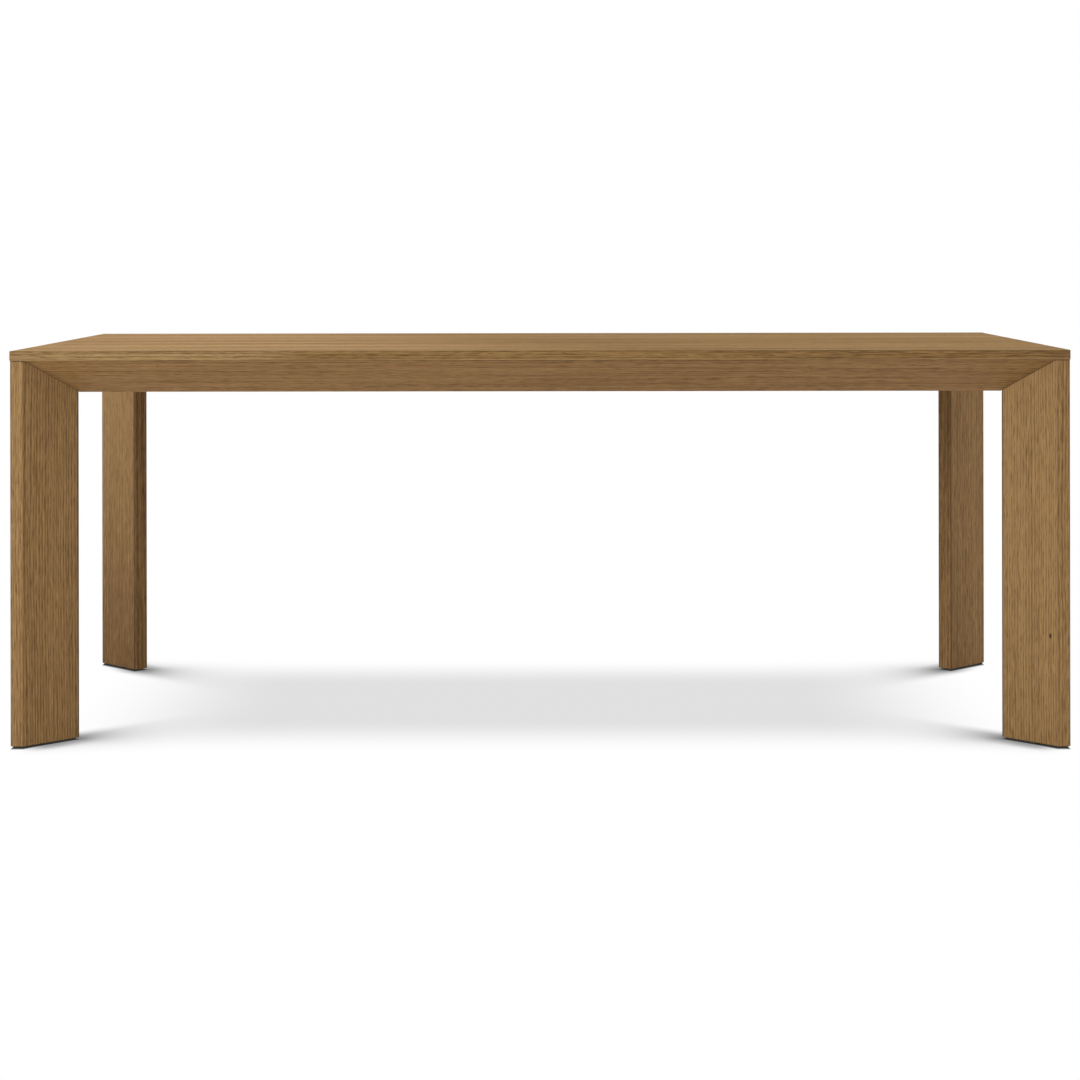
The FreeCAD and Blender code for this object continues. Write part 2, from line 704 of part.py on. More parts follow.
outline(socket, [
    (point, "0"),
    (f"{point} / 2", flat),
    (f"-{point} / 2", flat),
    (f"-{point}", "0"),
    (f"-{point} / 2", f"-{flat}"),
    (f"{point} / 2", f"-{flat}"),
])
pocket(bolt, socket, "Sizes.bolt_socket_depth")

washer = new_body("washer")
washer_plan = new_sketch(washer, "XY_Plane")
circles(washer_plan, [("0", "0")], "Sizes.washer_diameter")
circles(washer_plan, [("0", "0")], BOLT_PASSAGE)
pad(washer, washer_plan, "Sizes.washer_thickness")

leg_insert = sleeve("leg_insert", "Sizes.insert_diameter", "Sizes.insert_length", "Sizes.bolt_diameter")


def along_diagonals(reach):
    """Places on the bolts' lines, at a distance from each outer corner along its diagonal."""
    seats = []
    for inward in CORNERS.values():
        x, y = on_diagonal(inward, reach)
        seats += [(x, y, f"{UNDERSIDE} - {drop}", pointing(-inward)) for drop in BOLT_DROPS]
    return seats


group("leg_bolts", bolt, along_diagonals(f"({BLOCK_BACK} + Sizes.washer_thickness)"))
group("leg_bolt_washers", washer, along_diagonals(BLOCK_BACK))
group("leg_inserts", leg_insert, along_diagonals("(Sizes.leg_width - Sizes.insert_length)"))


# Brackets and wood screws
def wood_screw(label, length):
    """A domed wood screw, head up, its seat at its own origin."""
    body = new_body(label)
    shank = "(Sizes.screw_diameter / 2)"
    head = "(Sizes.screw_head_diameter / 2)"
    turn_solid(body, [
        ("0", "Sizes.screw_head_height"),
        (f"{head} - Sizes.screw_head_ease", "Sizes.screw_head_height"),
        (head, "Sizes.screw_head_height - Sizes.screw_head_ease"),
        (head, "0"),
        (shank, "0"),
        (shank, f"Sizes.screw_point - {length}"),
        ("0", f"-{length}"),
    ])
    return body


def inside_bend(point):
    """Whether a point of a bracket lies on the inner edge of its bend."""
    return near(point.y, "Sizes.bracket_thickness") and near(point.z, "-Sizes.bracket_thickness")


bracket = new_body("bracket")
bracket_section = new_sketch(bracket, "YZ_Plane")
outline(bracket_section, [
    ("0", "0"),
    ("0", "-Sizes.bracket_leg"),
    ("Sizes.bracket_thickness", "-Sizes.bracket_leg"),
    ("Sizes.bracket_thickness", "-Sizes.bracket_thickness"),
    ("Sizes.bracket_leg", "-Sizes.bracket_thickness"),
    ("Sizes.bracket_leg", "0"),
])
bent_strip = pad(bracket, bracket_section, "Sizes.bracket_width", both_ways=True)
round_edges(bracket, bent_strip, edges_where(bent_strip, inside_bend), "Sizes.bracket_thickness")
for plane, offset, centre in (
    ("XY_Plane", "0", ("0", BRACKET_SCREW_OFFSET)),
    ("XZ_Plane", "-Sizes.bracket_thickness", ("0", f"-{BRACKET_SCREW_OFFSET}")),
):
    hole = new_sketch(bracket, plane, offset)
    circles(hole, [centre], SCREW_PASSAGE)
    pocket(bracket, hole, None, plane == "XZ_Plane")

group("top_brackets", bracket, [
    on_side(side, along, FRAME_INSIDE) + (UNDERSIDE, turned(SIDES[side][0]))
    for side, along in bracket_seats()
])


def outward(side):
    """The direction square to a side's run, away from the table."""
    return SIDES[side][0].cross(UPRIGHT)


bracket_screw = wood_screw("bracket_screw", "(Sizes.bracket_screw_reach + Sizes.bracket_thickness)")
plate_underside = f"{UNDERSIDE} - Sizes.bracket_thickness"
screw_seats = [(x, y, plate_underside, pointing(UPRIGHT)) for x, y in bracket_screws_in_top()]
for side, along in bracket_seats():
    x, y = on_side(side, along, f"({FRAME_INSIDE} + Sizes.bracket_thickness)")
    screw_seats.append((x, y, f"{UNDERSIDE} - {BRACKET_SCREW_OFFSET}", pointing(outward(side))))
group("bracket_screws", bracket_screw, screw_seats)

block_screw = wood_screw("block_screw", "(Sizes.block_screw_grip + Sizes.block_screw_reach)")
block_screw_seats = []
for side, (direction, half_run) in SIDES.items():
    for sign in ("-", ""):
        along = f"{sign}({half_run} - {WING_MIDDLE})"
        x, y = on_side(side, along, f"({FRAME_INSIDE} + Sizes.block_screw_grip)")
        for drop in BOLT_DROPS:
            block_screw_seats.append((x, y, f"{UNDERSIDE} - {drop}", pointing(outward(side))))
group("corner_block_screws", block_screw, block_screw_seats)


# Levelling feet: a threaded stem moulded into a pad, screwed into an insert in the leg
foot_insert = sleeve(
    "foot_insert", "Sizes.foot_insert_diameter", "Sizes.foot_insert_length", "Sizes.stem_diameter"
)
group("foot_inserts", foot_insert, [
    on_diagonal(inward, "Sizes.foot_inset") + ("Sizes.foot_gap", Rotation()) for inward in CORNERS.values()
])

pad_height = "(Sizes.foot_gap - Sizes.pad_clearance)"
pad_radius = "(Sizes.pad_diameter / 2)"
stem_radius = "(Sizes.stem_diameter / 2)"
socket_radius = f"({stem_radius} + Sizes.fit_clearance)"
stem_top = "(Sizes.foot_gap + Sizes.stem_reach)"
for corner, inward in CORNERS.items():
    x, y = on_diagonal(inward, "Sizes.foot_inset")
    foot_pad = new_body(f"foot_pad_{corner}")
    turn_solid(foot_pad, [
        ("0", "0"),
        (f"{pad_radius} - Sizes.pad_edge", "0"),
        (pad_radius, "Sizes.pad_edge"),
        (pad_radius, pad_height),
        (socket_radius, pad_height),
        (socket_radius, "Sizes.pad_floor"),
        ("0", "Sizes.pad_floor"),
    ])
    foot_stem = new_body(f"foot_stem_{corner}")
    turn_solid(foot_stem, [
        ("0", "Sizes.pad_floor"),
        (stem_radius, "Sizes.pad_floor"),
        (stem_radius, f"{stem_top} - Sizes.rod_end_ease"),
        (f"{stem_radius} - Sizes.rod_end_ease", stem_top),
        ("0", stem_top),
    ])
    for piece in (foot_pad, foot_stem):
        place(piece, x, y, "0")
        pieces.append(piece)


# Check the document, then write one file for each piece
doc.recompute()
for item in doc.Objects:
    if "Invalid" in item.State or "Error" in item.State:
        raise RuntimeError(f"{item.Label} did not compute: {item.State}")
for piece in pieces:
    if piece.Shape.isNull() or not piece.Shape.isValid():
        raise RuntimeError(f"{piece.Label} has no valid shape")

os.makedirs("parts", exist_ok=True)
for piece in pieces:
    piece.Shape.exportStep(f"parts/{piece.Label}.step")
    print(f"{piece.Label}: {len(piece.Shape.Solids)} solids, {piece.Shape.Volume / 1000:.1f} cm3")
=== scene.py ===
import math
import bmesh
import bpy
import numpy as np
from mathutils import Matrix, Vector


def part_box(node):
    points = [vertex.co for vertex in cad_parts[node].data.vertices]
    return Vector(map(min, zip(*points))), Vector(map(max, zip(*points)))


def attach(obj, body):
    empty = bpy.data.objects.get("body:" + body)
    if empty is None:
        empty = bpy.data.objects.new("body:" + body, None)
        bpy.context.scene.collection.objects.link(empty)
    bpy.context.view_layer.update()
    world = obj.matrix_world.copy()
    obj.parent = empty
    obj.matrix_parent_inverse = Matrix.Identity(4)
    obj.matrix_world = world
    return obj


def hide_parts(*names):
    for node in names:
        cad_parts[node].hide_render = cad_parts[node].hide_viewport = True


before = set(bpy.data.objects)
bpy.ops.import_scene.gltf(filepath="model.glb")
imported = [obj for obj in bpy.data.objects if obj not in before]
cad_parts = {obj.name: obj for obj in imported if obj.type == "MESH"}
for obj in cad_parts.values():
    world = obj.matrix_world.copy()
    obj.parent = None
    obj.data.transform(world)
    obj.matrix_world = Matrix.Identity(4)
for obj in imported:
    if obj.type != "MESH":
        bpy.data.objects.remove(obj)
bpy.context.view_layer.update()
scene = bpy.context.scene

# Inner rails, cross rails, dowels and corner blocks: the hidden underframe, planed and sealed beech. The
# rails are mitred at the legs' slots, the cross rails are dowelled between them, and a block is glued and
# screwed into each corner.
CORNERS = {"front_left": (-1, -1), "front_right": (1, -1), "back_right": (1, 1), "back_left": (-1, 1)}
LONG_RAILS = ("inner_rail_front", "inner_rail_back")
END_RAILS = (
    "inner_rail_left", "inner_rail_right", "cross_rail_left", "cross_rail_right", "cross_rail_dowels",
)
BLOCKS = tuple(f"corner_block_{corner}" for corner in CORNERS)
QUARTER_TURN = math.pi / 2
ALONG_X = (0.0, 0.0, 0.0)
ALONG_Y = (0.0, 0.0, QUARTER_TURN)
UPRIGHT = (0.0, -QUARTER_TURN, 0.0)
WOOD_RELIEF = 0.35


def linear(red, green, blue):
    """A colour given in screen levels of 0 to 255, as linear light by the sRGB curve, with full alpha."""
    level = np.array([red, green, blue]) / 255
    light = np.where(level <= 0.04045, level / 12.92, ((level + 0.055) / 1.055) ** 2.4)
    return (*light.tolist(), 1.0)


def add_node(tree, kind, wires=None, **settings):
    """A shader node with its settings; a wire gives an input, by name or number, a value or a socket."""
    node = tree.nodes.new("ShaderNode" + kind)
    for name, setting in settings.items():
        setattr(node, name, setting)
    for name, wire in (wires or {}).items():
        if isinstance(wire, bpy.types.NodeSocket):
            tree.links.new(wire, node.inputs[name])
        else:
            node.inputs[name].default_value = wire
    return node


def calc(tree, operation, first, second=0.0):
    """One step of arithmetic on values."""
    return add_node(tree, "Math", {0: first, 1: second}, operation=operation).outputs[0]


def add_share(tree, base, value, share):
    """The base plus the value times a share."""
    return calc(tree, "ADD", base, calc(tree, "MULTIPLY", value, share))


def rest_of_one(tree, value):
    """One less the value."""
    return calc(tree, "SUBTRACT", 1.0, value)


def vector_calc(tree, operation, first, second):
    """One step of arithmetic on vectors, part by part."""
    return add_node(tree, "VectorMath", {0: first, 1: second}, operation=operation).outputs[0]


def rise(tree, value, low, high):
    """A smooth step from 0 at low to 1 at high."""
    wires = {0: value, 1: low, 2: high, 3: 0.0, 4: 1.0}
    return add_node(tree, "MapRange", wires, interpolation_type="SMOOTHSTEP").outputs[0]


def streaks(tree, grain, along, across, detail=1.0):
    """Noise drawn out along the grain: so many features in a metre along it, and so many across it."""
    drawn = vector_calc(tree, "MULTIPLY", grain, (along, across, across))
    return add_node(tree, "TexNoise", {"Vector": drawn, "Scale": 1.0, "Detail": detail}).outputs[0]


def blend_colour(tree, share, first, second):
    """From the first colour to the second as the share goes from 0 to 1; inputs 6 and 7 are colours."""
    return add_node(tree, "Mix", {0: share, 6: first, 7: second}, data_type="RGBA").outputs[2]


def new_group(name, inputs, outputs):
    """An empty shader node group with named inputs and outputs, and its two end nodes."""
    tree = bpy.data.node_groups.new(name, "ShaderNodeTree")
    for label, kind in inputs.items():
        tree.interface.new_socket(label, in_out="INPUT", socket_type="NodeSocket" + kind)
    for label, kind in outputs.items():
        tree.interface.new_socket(label, in_out="OUTPUT", socket_type="NodeSocket" + kind)
    return tree, tree.nodes.new("NodeGroupInput").outputs, tree.nodes.new("NodeGroupOutput").inputs


def new_material(name):
    """A material with a bare Principled shader."""
    material = bpy.data.materials.new(name)
    material.use_nodes = True
    tree = material.node_tree
    return material, tree, tree.nodes["Principled BSDF"]


def object_place(tree):
    """Where a point lies on its object, in metres."""
    return add_node(tree, "TexCoord").outputs["Object"]


def object_grain(tree, turn, pith=(0.0, 0.0, 0.0)):
    """Object coordinates from a point on the pith, turned so that their first axis runs along the grain."""
    wires = {"Vector": object_place(tree), "Location": pith, "Rotation": turn}
    return add_node(tree, "Mapping", wires, vector_type="TEXTURE").outputs[0]


def finish_wood(tree, shader, wood, depth):
    """Feed a wood group's colour, roughness and relief to a shader."""
    bump = add_node(tree, "Bump", {"Height": wood["Height"], "Strength": WOOD_RELIEF, "Distance": depth})
    tree.links.new(wood["Color"], shader.inputs["Base Color"])
    tree.links.new(wood["Roughness"], shader.inputs["Roughness"])
    tree.links.new(bump.outputs[0], shader.inputs["Normal"])


# A noise is given as its features in a metre along and across the grain, then its detail where that isn't
# 1. Its levels are where it begins to show and where it shows in full.
BEECH_PALE = linear(206, 176, 138)
BEECH_WARM = linear(190, 154, 114)
BEECH_FLECK = linear(150, 112, 76)
BEECH_DRIFT = (1.5, 35, 3.0)
BEECH_DRIFT_LEVELS = (0.3, 0.7)
BEECH_FLECKS = (230, 1100)
BEECH_FLECK_LEVELS = (0.62, 0.72)
BEECH_FLECK_SHARE = 0.5
BEECH_ROUGHNESS = 0.55
BEECH_FLECK_ROUGHNESS = 0.15
BEECH_RELIEF_DEPTH = 0.0002


def make_beech_grain():
    """Beech: a pale even ground with a slow drift of tone and short dark ray flecks along the grain."""
    tree, given, put = new_group(
        "beech_grain",
        {"Grain": "Vector", "Pale wood": "Color", "Warm wood": "Color", "Flecks": "Color"},
        {"Color": "Color", "Roughness": "Float", "Height": "Float"},
    )
    drift = rise(tree, streaks(tree, given["Grain"], *BEECH_DRIFT), *BEECH_DRIFT_LEVELS)
    flecks = rise(tree, streaks(tree, given["Grain"], *BEECH_FLECKS), *BEECH_FLECK_LEVELS)
    ground = blend_colour(tree, drift, given["Pale wood"], given["Warm wood"])
    fleck_share = calc(tree, "MULTIPLY", flecks, BEECH_FLECK_SHARE)
    tree.links.new(blend_colour(tree, fleck_share, ground, given["Flecks"]), put["Color"])
    tree.links.new(add_share(tree, BEECH_ROUGHNESS, flecks, BEECH_FLECK_ROUGHNESS), put["Roughness"])
    tree.links.new(rest_of_one(tree, flecks), put["Height"])
    return tree


beech_grain = make_beech_grain()


def make_beech(name, turn):
    """Beech with its grain turned to a piece's length."""
    material, tree, shader = new_material(name)
    wires = {
        "Grain": object_grain(tree, turn),
        "Pale wood": BEECH_PALE,
        "Warm wood": BEECH_WARM,
        "Flecks": BEECH_FLECK,
    }
    wood = add_node(tree, "Group", wires, node_tree=beech_grain)
    finish_wood(tree, shader, wood.outputs, BEECH_RELIEF_DEPTH)
    return material


def dress(nodes, material):
    """Give CAD nodes that keep their own shape a material."""
    for node in nodes:
        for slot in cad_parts[node].material_slots:
            slot.material = material


dress(LONG_RAILS, make_beech("beech_along", ALONG_X))
dress(END_RAILS, make_beech("beech_across", ALONG_Y))
dress(BLOCKS, make_beech("beech_upright", UPRIGHT))

# Legs: each a plank of two oak boards, bevelled to a point at the table's corner and glued face to face
# along the diagonal. The arrises are sanded round and the foot is chamfered. Shade is painted onto them
# just under the top and along the arrises.
LEG_POINT_RADIUS = 0.0025
LEG_ARRIS_RADIUS = 0.002
LEG_FOOT_CHAMFER = 0.0015
LEG_EDGE_REACH = 0.003
JOINT_SHADE_REACH = np.array([0.003, 0.0012])
ARC_STEPS = 6
SHARP_EDGE = math.radians(35)
ROOT_TWO = math.sqrt(2)

leg_low, leg_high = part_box("leg_front_left_front_board")
end_board_low, end_board_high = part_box("leg_front_left_end_board")
leg_run = ROOT_TWO * (leg_high[1] - leg_low[1])
leg_board = ROOT_TWO * (end_board_high[1] - leg_low[1]) - leg_run
leg_foot = leg_low[2]
leg_top = leg_high[2]
corner_x = abs(end_board_low[0])
corner_y = abs(leg_low[1])


def round_corner(before, corner, after, radius, steps=ARC_STEPS):
    """An arc in place of a corner: it starts radius * tan(turn / 2) short of the corner and turns about a
    centre that lies on the corner's bisector, radius / cos(turn / 2) away."""
    come = (corner - before) / np.linalg.norm(corner - before)
    leave = (after - corner) / np.linalg.norm(after - corner)
    turn = math.atan2(come[0] * leave[1] - come[1] * leave[0], come @ leave)
    bisector = (leave - come) / np.linalg.norm(leave - come)
    centre = corner + bisector * radius / math.cos(turn / 2)
    arm = corner - come * radius * math.tan(abs(turn) / 2) - centre
    sweep = turn * np.linspace(0, 1, steps + 1)
    x = arm[0] * np.cos(sweep) - arm[1] * np.sin(sweep)
    y = arm[0] * np.sin(sweep) + arm[1] * np.cos(sweep)
    return centre + np.stack([x, y], axis=-1)


def leg_section(inset):
    """Half a leg's plan, as (distance in along the diagonal, distance off it), each outer face set in.
    Single points beside the arrises bound the shade painted along them."""
    point = np.array([inset * ROOT_TWO, 0.0])
    shoulder = np.array([leg_board + inset * (ROOT_TWO - 1), leg_board - inset])
    end = np.array([leg_run - inset, leg_board - inset])
    glue = np.array([leg_run - inset, 0.0])
    nose = round_corner(shoulder * (1, -1), point, shoulder, LEG_POINT_RADIUS, 2 * ARC_STEPS)
    arris = round_corner(point, shoulder, end, LEG_ARRIS_RADIUS - inset)
    end_arris = round_corner(shoulder, end, glue, LEG_ARRIS_RADIUS - inset)
    before_arris = arris[0] - np.array([LEG_EDGE_REACH, LEG_EDGE_REACH]) / ROOT_TWO
    after_arris = arris[-1] + np.array([LEG_EDGE_REACH, 0.0])
    before_end = end_arris[0] - np.array([LEG_EDGE_REACH, 0.0])
    return np.vstack([nose[ARC_STEPS:], before_arris, arris, after_arris, before_end, end_arris, glue])


def loft(rings):
    """A closed surface through rings of points: each point joins its neighbour on the ring and the same
    two points of the next ring, and flat caps close the two ends."""
    count, size = rings.shape[:2]
    ring, point = np.meshgrid(np.arange(count - 1), np.arange(size), indexing="ij")
    here = ring * size + point
    beside = ring * size + (point + 1) % size
    quads = np.stack([here, beside, beside + size, here + size], axis=-1).reshape(-1, 4).tolist()
    caps = [list(range(size)), list(range((count - 1) * size, count * size))]
    return rings.reshape(-1, 3), quads + caps


def add_piece(name, rings, material, body, sharp=SHARP_EDGE):
    """A lofted piece in its place in the frame, standing for the CAD node of the same name."""
    points, faces = loft(rings)
    mesh = bpy.data.meshes.new(name)
    mesh.from_pydata(points.tolist(), [], faces)
    shell = bmesh.new()
    shell.from_mesh(mesh)
    bmesh.ops.recalc_face_normals(shell, faces=shell.faces)
    shell.to_mesh(mesh)
    shell.free()
    mesh.shade_smooth()
    mesh.set_sharp_from_angle(angle=sharp)
    mesh.materials.append(material)
    piece = bpy.data.objects.new(f"{name}_finish", mesh)
    scene.collection.objects.link(piece)
    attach(piece, body)
    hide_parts(name)
    return piece


def mark_board(board, grain, tone, shade):
    """Write a board's grain coordinates, its tone, which also paints light and shade, and its painted shade
    at joints and arrises onto its points.
    """
    for label, values, kind, field in (
        ("grain", grain, "FLOAT_VECTOR", "vector"),
        ("tone_and_painted_light", tone, "FLOAT", "value"),
        ("painted_shade", shade, "FLOAT", "value"),
    ):
        layer = board.data.attributes.new(label, kind, "POINT")
        layer.data.foreach_set(field, np.ascontiguousarray(values, dtype=np.float32).ravel())


# The oak's noises are given as the beech's are. A width is how far a noise swings the tone, or, for the
# sway, how many metres it moves the grain aside and, for the uneven rings, how many rings.
OAK_SWAY = (1.6, 8, 2.0)
OAK_SWAY_WIDTH = 0.012
OAK_BOW = (1.25, 0.6)
OAK_UNEVEN = (0.6, 45)
OAK_UNEVEN_WIDTH = 1.6
SPRING_WOOD_START = (0.0, 0.1)
SPRING_WOOD_END = (0.2, 0.8)
SPRING_WOOD_TONE = 0.2
SPRING_WOOD_TONE_SPREAD = 0.3
OAK_TONE = 0.3
OAK_LINES = (1.8, 460, 3.0)
OAK_LINE_WIDTH = 2.5
OAK_DRIFT = (1.1, 20, 2.0)
OAK_DASHES = (34, 760)
OAK_DASH_WIDTH = 2.1
OAK_FIBRES = (26, 2300)
OAK_FIBRE_WIDTH = 0.9
OAK_PORES = (55, 1100)
OAK_PORE_LEVELS = (0.55, 0.66)
OAK_PORES_ALL_OVER = 0.25
OAK_PORE_SHARE = 0.6
OAK_ROUGHNESS = 0.56
OAK_TONE_ROUGHNESS = 0.1
OAK_PORE_ROUGHNESS = 0.12
OAK_FIBRE_RELIEF = 0.3
OAK_RELIEF_DEPTH = 0.0004
OAK_GLOSS = 0.2
OAK_PORE = linear(82, 54, 25)
# The dark of glue lines and of the knot, and the colour of the painted shade.
OAK_JOINT_KNOT_AND_SHADE = linear(44, 28, 15)


def about_zero(tree, noise, width):
    """Noise moved to swing evenly about zero, over the width given."""
    return calc(tree, "MULTIPLY", calc(tree, "SUBTRACT", noise, 0.5), width)


def own_value(tree, number):
    """A chance value from 0 to 1, always the same for the same whole number."""
    return add_node(tree, "TexWhiteNoise", {"W": number}, noise_dimensions="1D").outputs["Value"]


def split(tree, vector):
    """The three parts of a vector."""
    return add_node(tree, "SeparateXYZ", {0: vector}).outputs


def join(tree, along, across, deep):
    """A vector from its three parts."""
    return add_node(tree, "CombineXYZ", {"X": along, "Y": across, "Z": deep}).outputs[0]


def length_of(tree, vector):
    """A vector's length."""
    return add_node(tree, "VectorMath", {0: vector}, operation="LENGTH").outputs["Value"]


def make_oak_grain():
    """Rift-cut oak, read along the trunk and across it from the pith. A growth ring starts at each whole
    number of radius times rings per metre: its spring wood is dark and carries rows of pores. Finer
    lines, short dashes, fibres and a slow drift of tone lie over the rings, and a bow slopes them along
    a board."""
    tree, given, put = new_group(
        "oak_grain",
        {
            "Grain": "Vector", "Rings": "Float", "Bow": "Float", "Drift": "Float", "Lines": "Float",
            "Tone": "Float", "Pale wood": "Color", "Dark wood": "Color", "Pore": "Color",
        },
        {"Color": "Color", "Roughness": "Float", "Height": "Float"},
    )
    sway = about_zero(tree, streaks(tree, given["Grain"], *OAK_SWAY), OAK_SWAY_WIDTH)
    grain = vector_calc(tree, "ADD", given["Grain"], join(tree, 0.0, sway, sway))

    parts = split(tree, grain)
    bow = about_zero(tree, streaks(tree, given["Grain"], *OAK_BOW), given["Bow"])
    radius = length_of(tree, join(tree, 0.0, calc(tree, "ADD", parts["Y"], bow), parts["Z"]))
    uneven = about_zero(tree, streaks(tree, grain, *OAK_UNEVEN), OAK_UNEVEN_WIDTH)
    count = add_share(tree, uneven, radius, given["Rings"])
    ring = calc(tree, "FRACT", count)
    spring_left = rest_of_one(tree, rise(tree, ring, *SPRING_WOOD_END))
    spring = calc(tree, "MULTIPLY", rise(tree, ring, *SPRING_WOOD_START), spring_left)
    vigour = own_value(tree, calc(tree, "FLOOR", count))
    spring_tone = add_share(tree, SPRING_WOOD_TONE, vigour, SPRING_WOOD_TONE_SPREAD)

    fibres = streaks(tree, grain, *OAK_FIBRES)
    tone = add_share(tree, calc(tree, "ADD", given["Tone"], OAK_TONE), spring, spring_tone)
    for noise, width in (
        (streaks(tree, grain, *OAK_LINES), given["Lines"]),
        (streaks(tree, grain, *OAK_DRIFT), given["Drift"]),
        (streaks(tree, grain, *OAK_DASHES), OAK_DASH_WIDTH),
        (fibres, OAK_FIBRE_WIDTH),
    ):
        tone = calc(tree, "ADD", tone, about_zero(tree, noise, width))

    pores = rise(tree, streaks(tree, grain, *OAK_PORES), *OAK_PORE_LEVELS)
    pores = calc(tree, "MULTIPLY", pores, calc(tree, "ADD", OAK_PORES_ALL_OVER, spring))

    ground = blend_colour(tree, tone, given["Pale wood"], given["Dark wood"])
    pored = blend_colour(tree, calc(tree, "MULTIPLY", pores, OAK_PORE_SHARE), ground, given["Pore"])
    rough = add_share(tree, OAK_ROUGHNESS, tone, OAK_TONE_ROUGHNESS)
    relief = add_share(tree, pores, fibres, OAK_FIBRE_RELIEF)
    tree.links.new(pored, put["Color"])
    tree.links.new(add_share(tree, rough, pores, OAK_PORE_ROUGHNESS), put["Roughness"])
    tree.links.new(rest_of_one(tree, relief), put["Height"])
    return tree


oak_grain = make_oak_grain()


def make_oak(name, pale, dark, rings, bow, drift, lines=OAK_LINE_WIDTH, gloss=OAK_GLOSS):
    """Satin-lacquered oak, with the values that its grain doesn't share; the grain is wired later."""
    material, tree, shader = new_material(name)
    wires = {
        "Rings": rings, "Bow": bow, "Drift": drift, "Lines": lines, "Tone": 0.0,
        "Pale wood": pale, "Dark wood": dark, "Pore": OAK_PORE,
    }
    wood = add_node(tree, "Group", wires, node_tree=oak_grain)
    finish_wood(tree, shader, wood.outputs, OAK_RELIEF_DEPTH)
    shader.inputs["Specular IOR Level"].default_value = gloss
    return material, tree, wood


def paint_over(tree, share, colour):
    """Lay a colour over a material's own, by a share that changes over the surface."""
    base = tree.nodes["Principled BSDF"].inputs["Base Color"]
    tree.links.new(blend_colour(tree, share, base.links[0].from_socket, colour), base)


def make_board_oak(name, pale, dark, rings, bow, drift, lines=OAK_LINE_WIDTH):
    """Oak for a board that carries its own grain coordinates, its tone, which also paints light and shade,
    and its painted shade at joints and arrises.
    """
    material, tree, wood = make_oak(name, pale, dark, rings, bow, drift, lines)
    grain, tone, shade = (
        add_node(tree, "Attribute", attribute_name=label).outputs
        for label in ("grain", "tone_and_painted_light", "painted_shade"))
    tree.links.new(grain["Vector"], wood.inputs["Grain"])
    tree.links.new(tone["Fac"], wood.inputs["Tone"])
    paint_over(tree, shade["Fac"], OAK_JOINT_KNOT_AND_SHADE)
    return material


# Each board's length of the log, its least distances from the pith, their steps and the number of steps.
LOG_LENGTH = 0.731
LOG_NEAREST = (0.24, 0.16)
LOG_STEPS = (0.05, 0.035)
LOG_PLACES = (4, 3)


def place_in_log(number):
    """Where a board lay in its log: its own length of it, and two distances from the pith that step up and
    start again. The second is to one side of the pith for odd numbers and to the other for even ones."""
    across, deep = np.array(LOG_NEAREST) + np.array(LOG_STEPS) * (number % np.array(LOG_PLACES))
    side = 1 if number % 2 else -1
    return np.array([LOG_LENGTH * number, across, side * deep])


KNOT_PLACE = (0.96262, -0.46308, 0.20991)
KNOT_RADIUS = 0.0042
KNOT_CORE = 0.3
KNOT_FLATTENING = (1.0, 1.0, 0.55)


def add_knot(material):
    """A pin knot on the front right leg's broad face: a dark upright oval where the distance from its
    middle, shortened upwards, is small."""
    tree = material.node_tree
    apart = vector_calc(tree, "SUBTRACT", object_place(tree), KNOT_PLACE)
    away = length_of(tree, vector_calc(tree, "MULTIPLY", apart, KNOT_FLATTENING))
    paint_over(tree, rise(tree, away, KNOT_RADIUS, KNOT_CORE * KNOT_RADIUS), OAK_JOINT_KNOT_AND_SHADE)


# Each face's tone at the foot and at the top, which also paints light and shade: the inner ends darken
# towards the top, where the top shades them, and the back legs' broad faces darken towards the foot. The
# flats' and the inner end's are added to the broad face's.
LEG_TONES_AND_SHADE = {
    "front_left": {"broad": (0.04, -0.07), "flat": (0.05, -0.01), "end": (-0.15, 0.25)},
    "front_right": {"broad": (-0.11, -0.26), "flat": (0.1, 0.35), "end": (-0.15, 0.25)},
    "back_right": {"broad": (0.29, -0.03), "flat": (0.1, 0.1), "end": (-0.21, 0.4)},
    "back_left": {"broad": (0.59, -0.55), "flat": (0.2, 0.2), "end": (-0.28, 0.76)},
}
# Painted shade: at the joint just under the top, where the top shades the leg, and darker lines along the
# point, the arris between flat and broad face, and the inner end's arris.
LEG_PAINTED_SHADES_UNDER_TOP = (0.5, 0.95)
LEG_NOSE_SHADE = 0.45
LEG_ARRIS_SHADE = 0.3
LEG_ARRIS_STEEPNESS = 3
LEG_END_SHADE = 0.75

oak_leg = make_board_oak(
    "oak_leg", linear(170, 134, 86), linear(119, 87, 49), rings=186.0, bow=0.0, drift=0.45, lines=1.2)
add_knot(oak_leg)

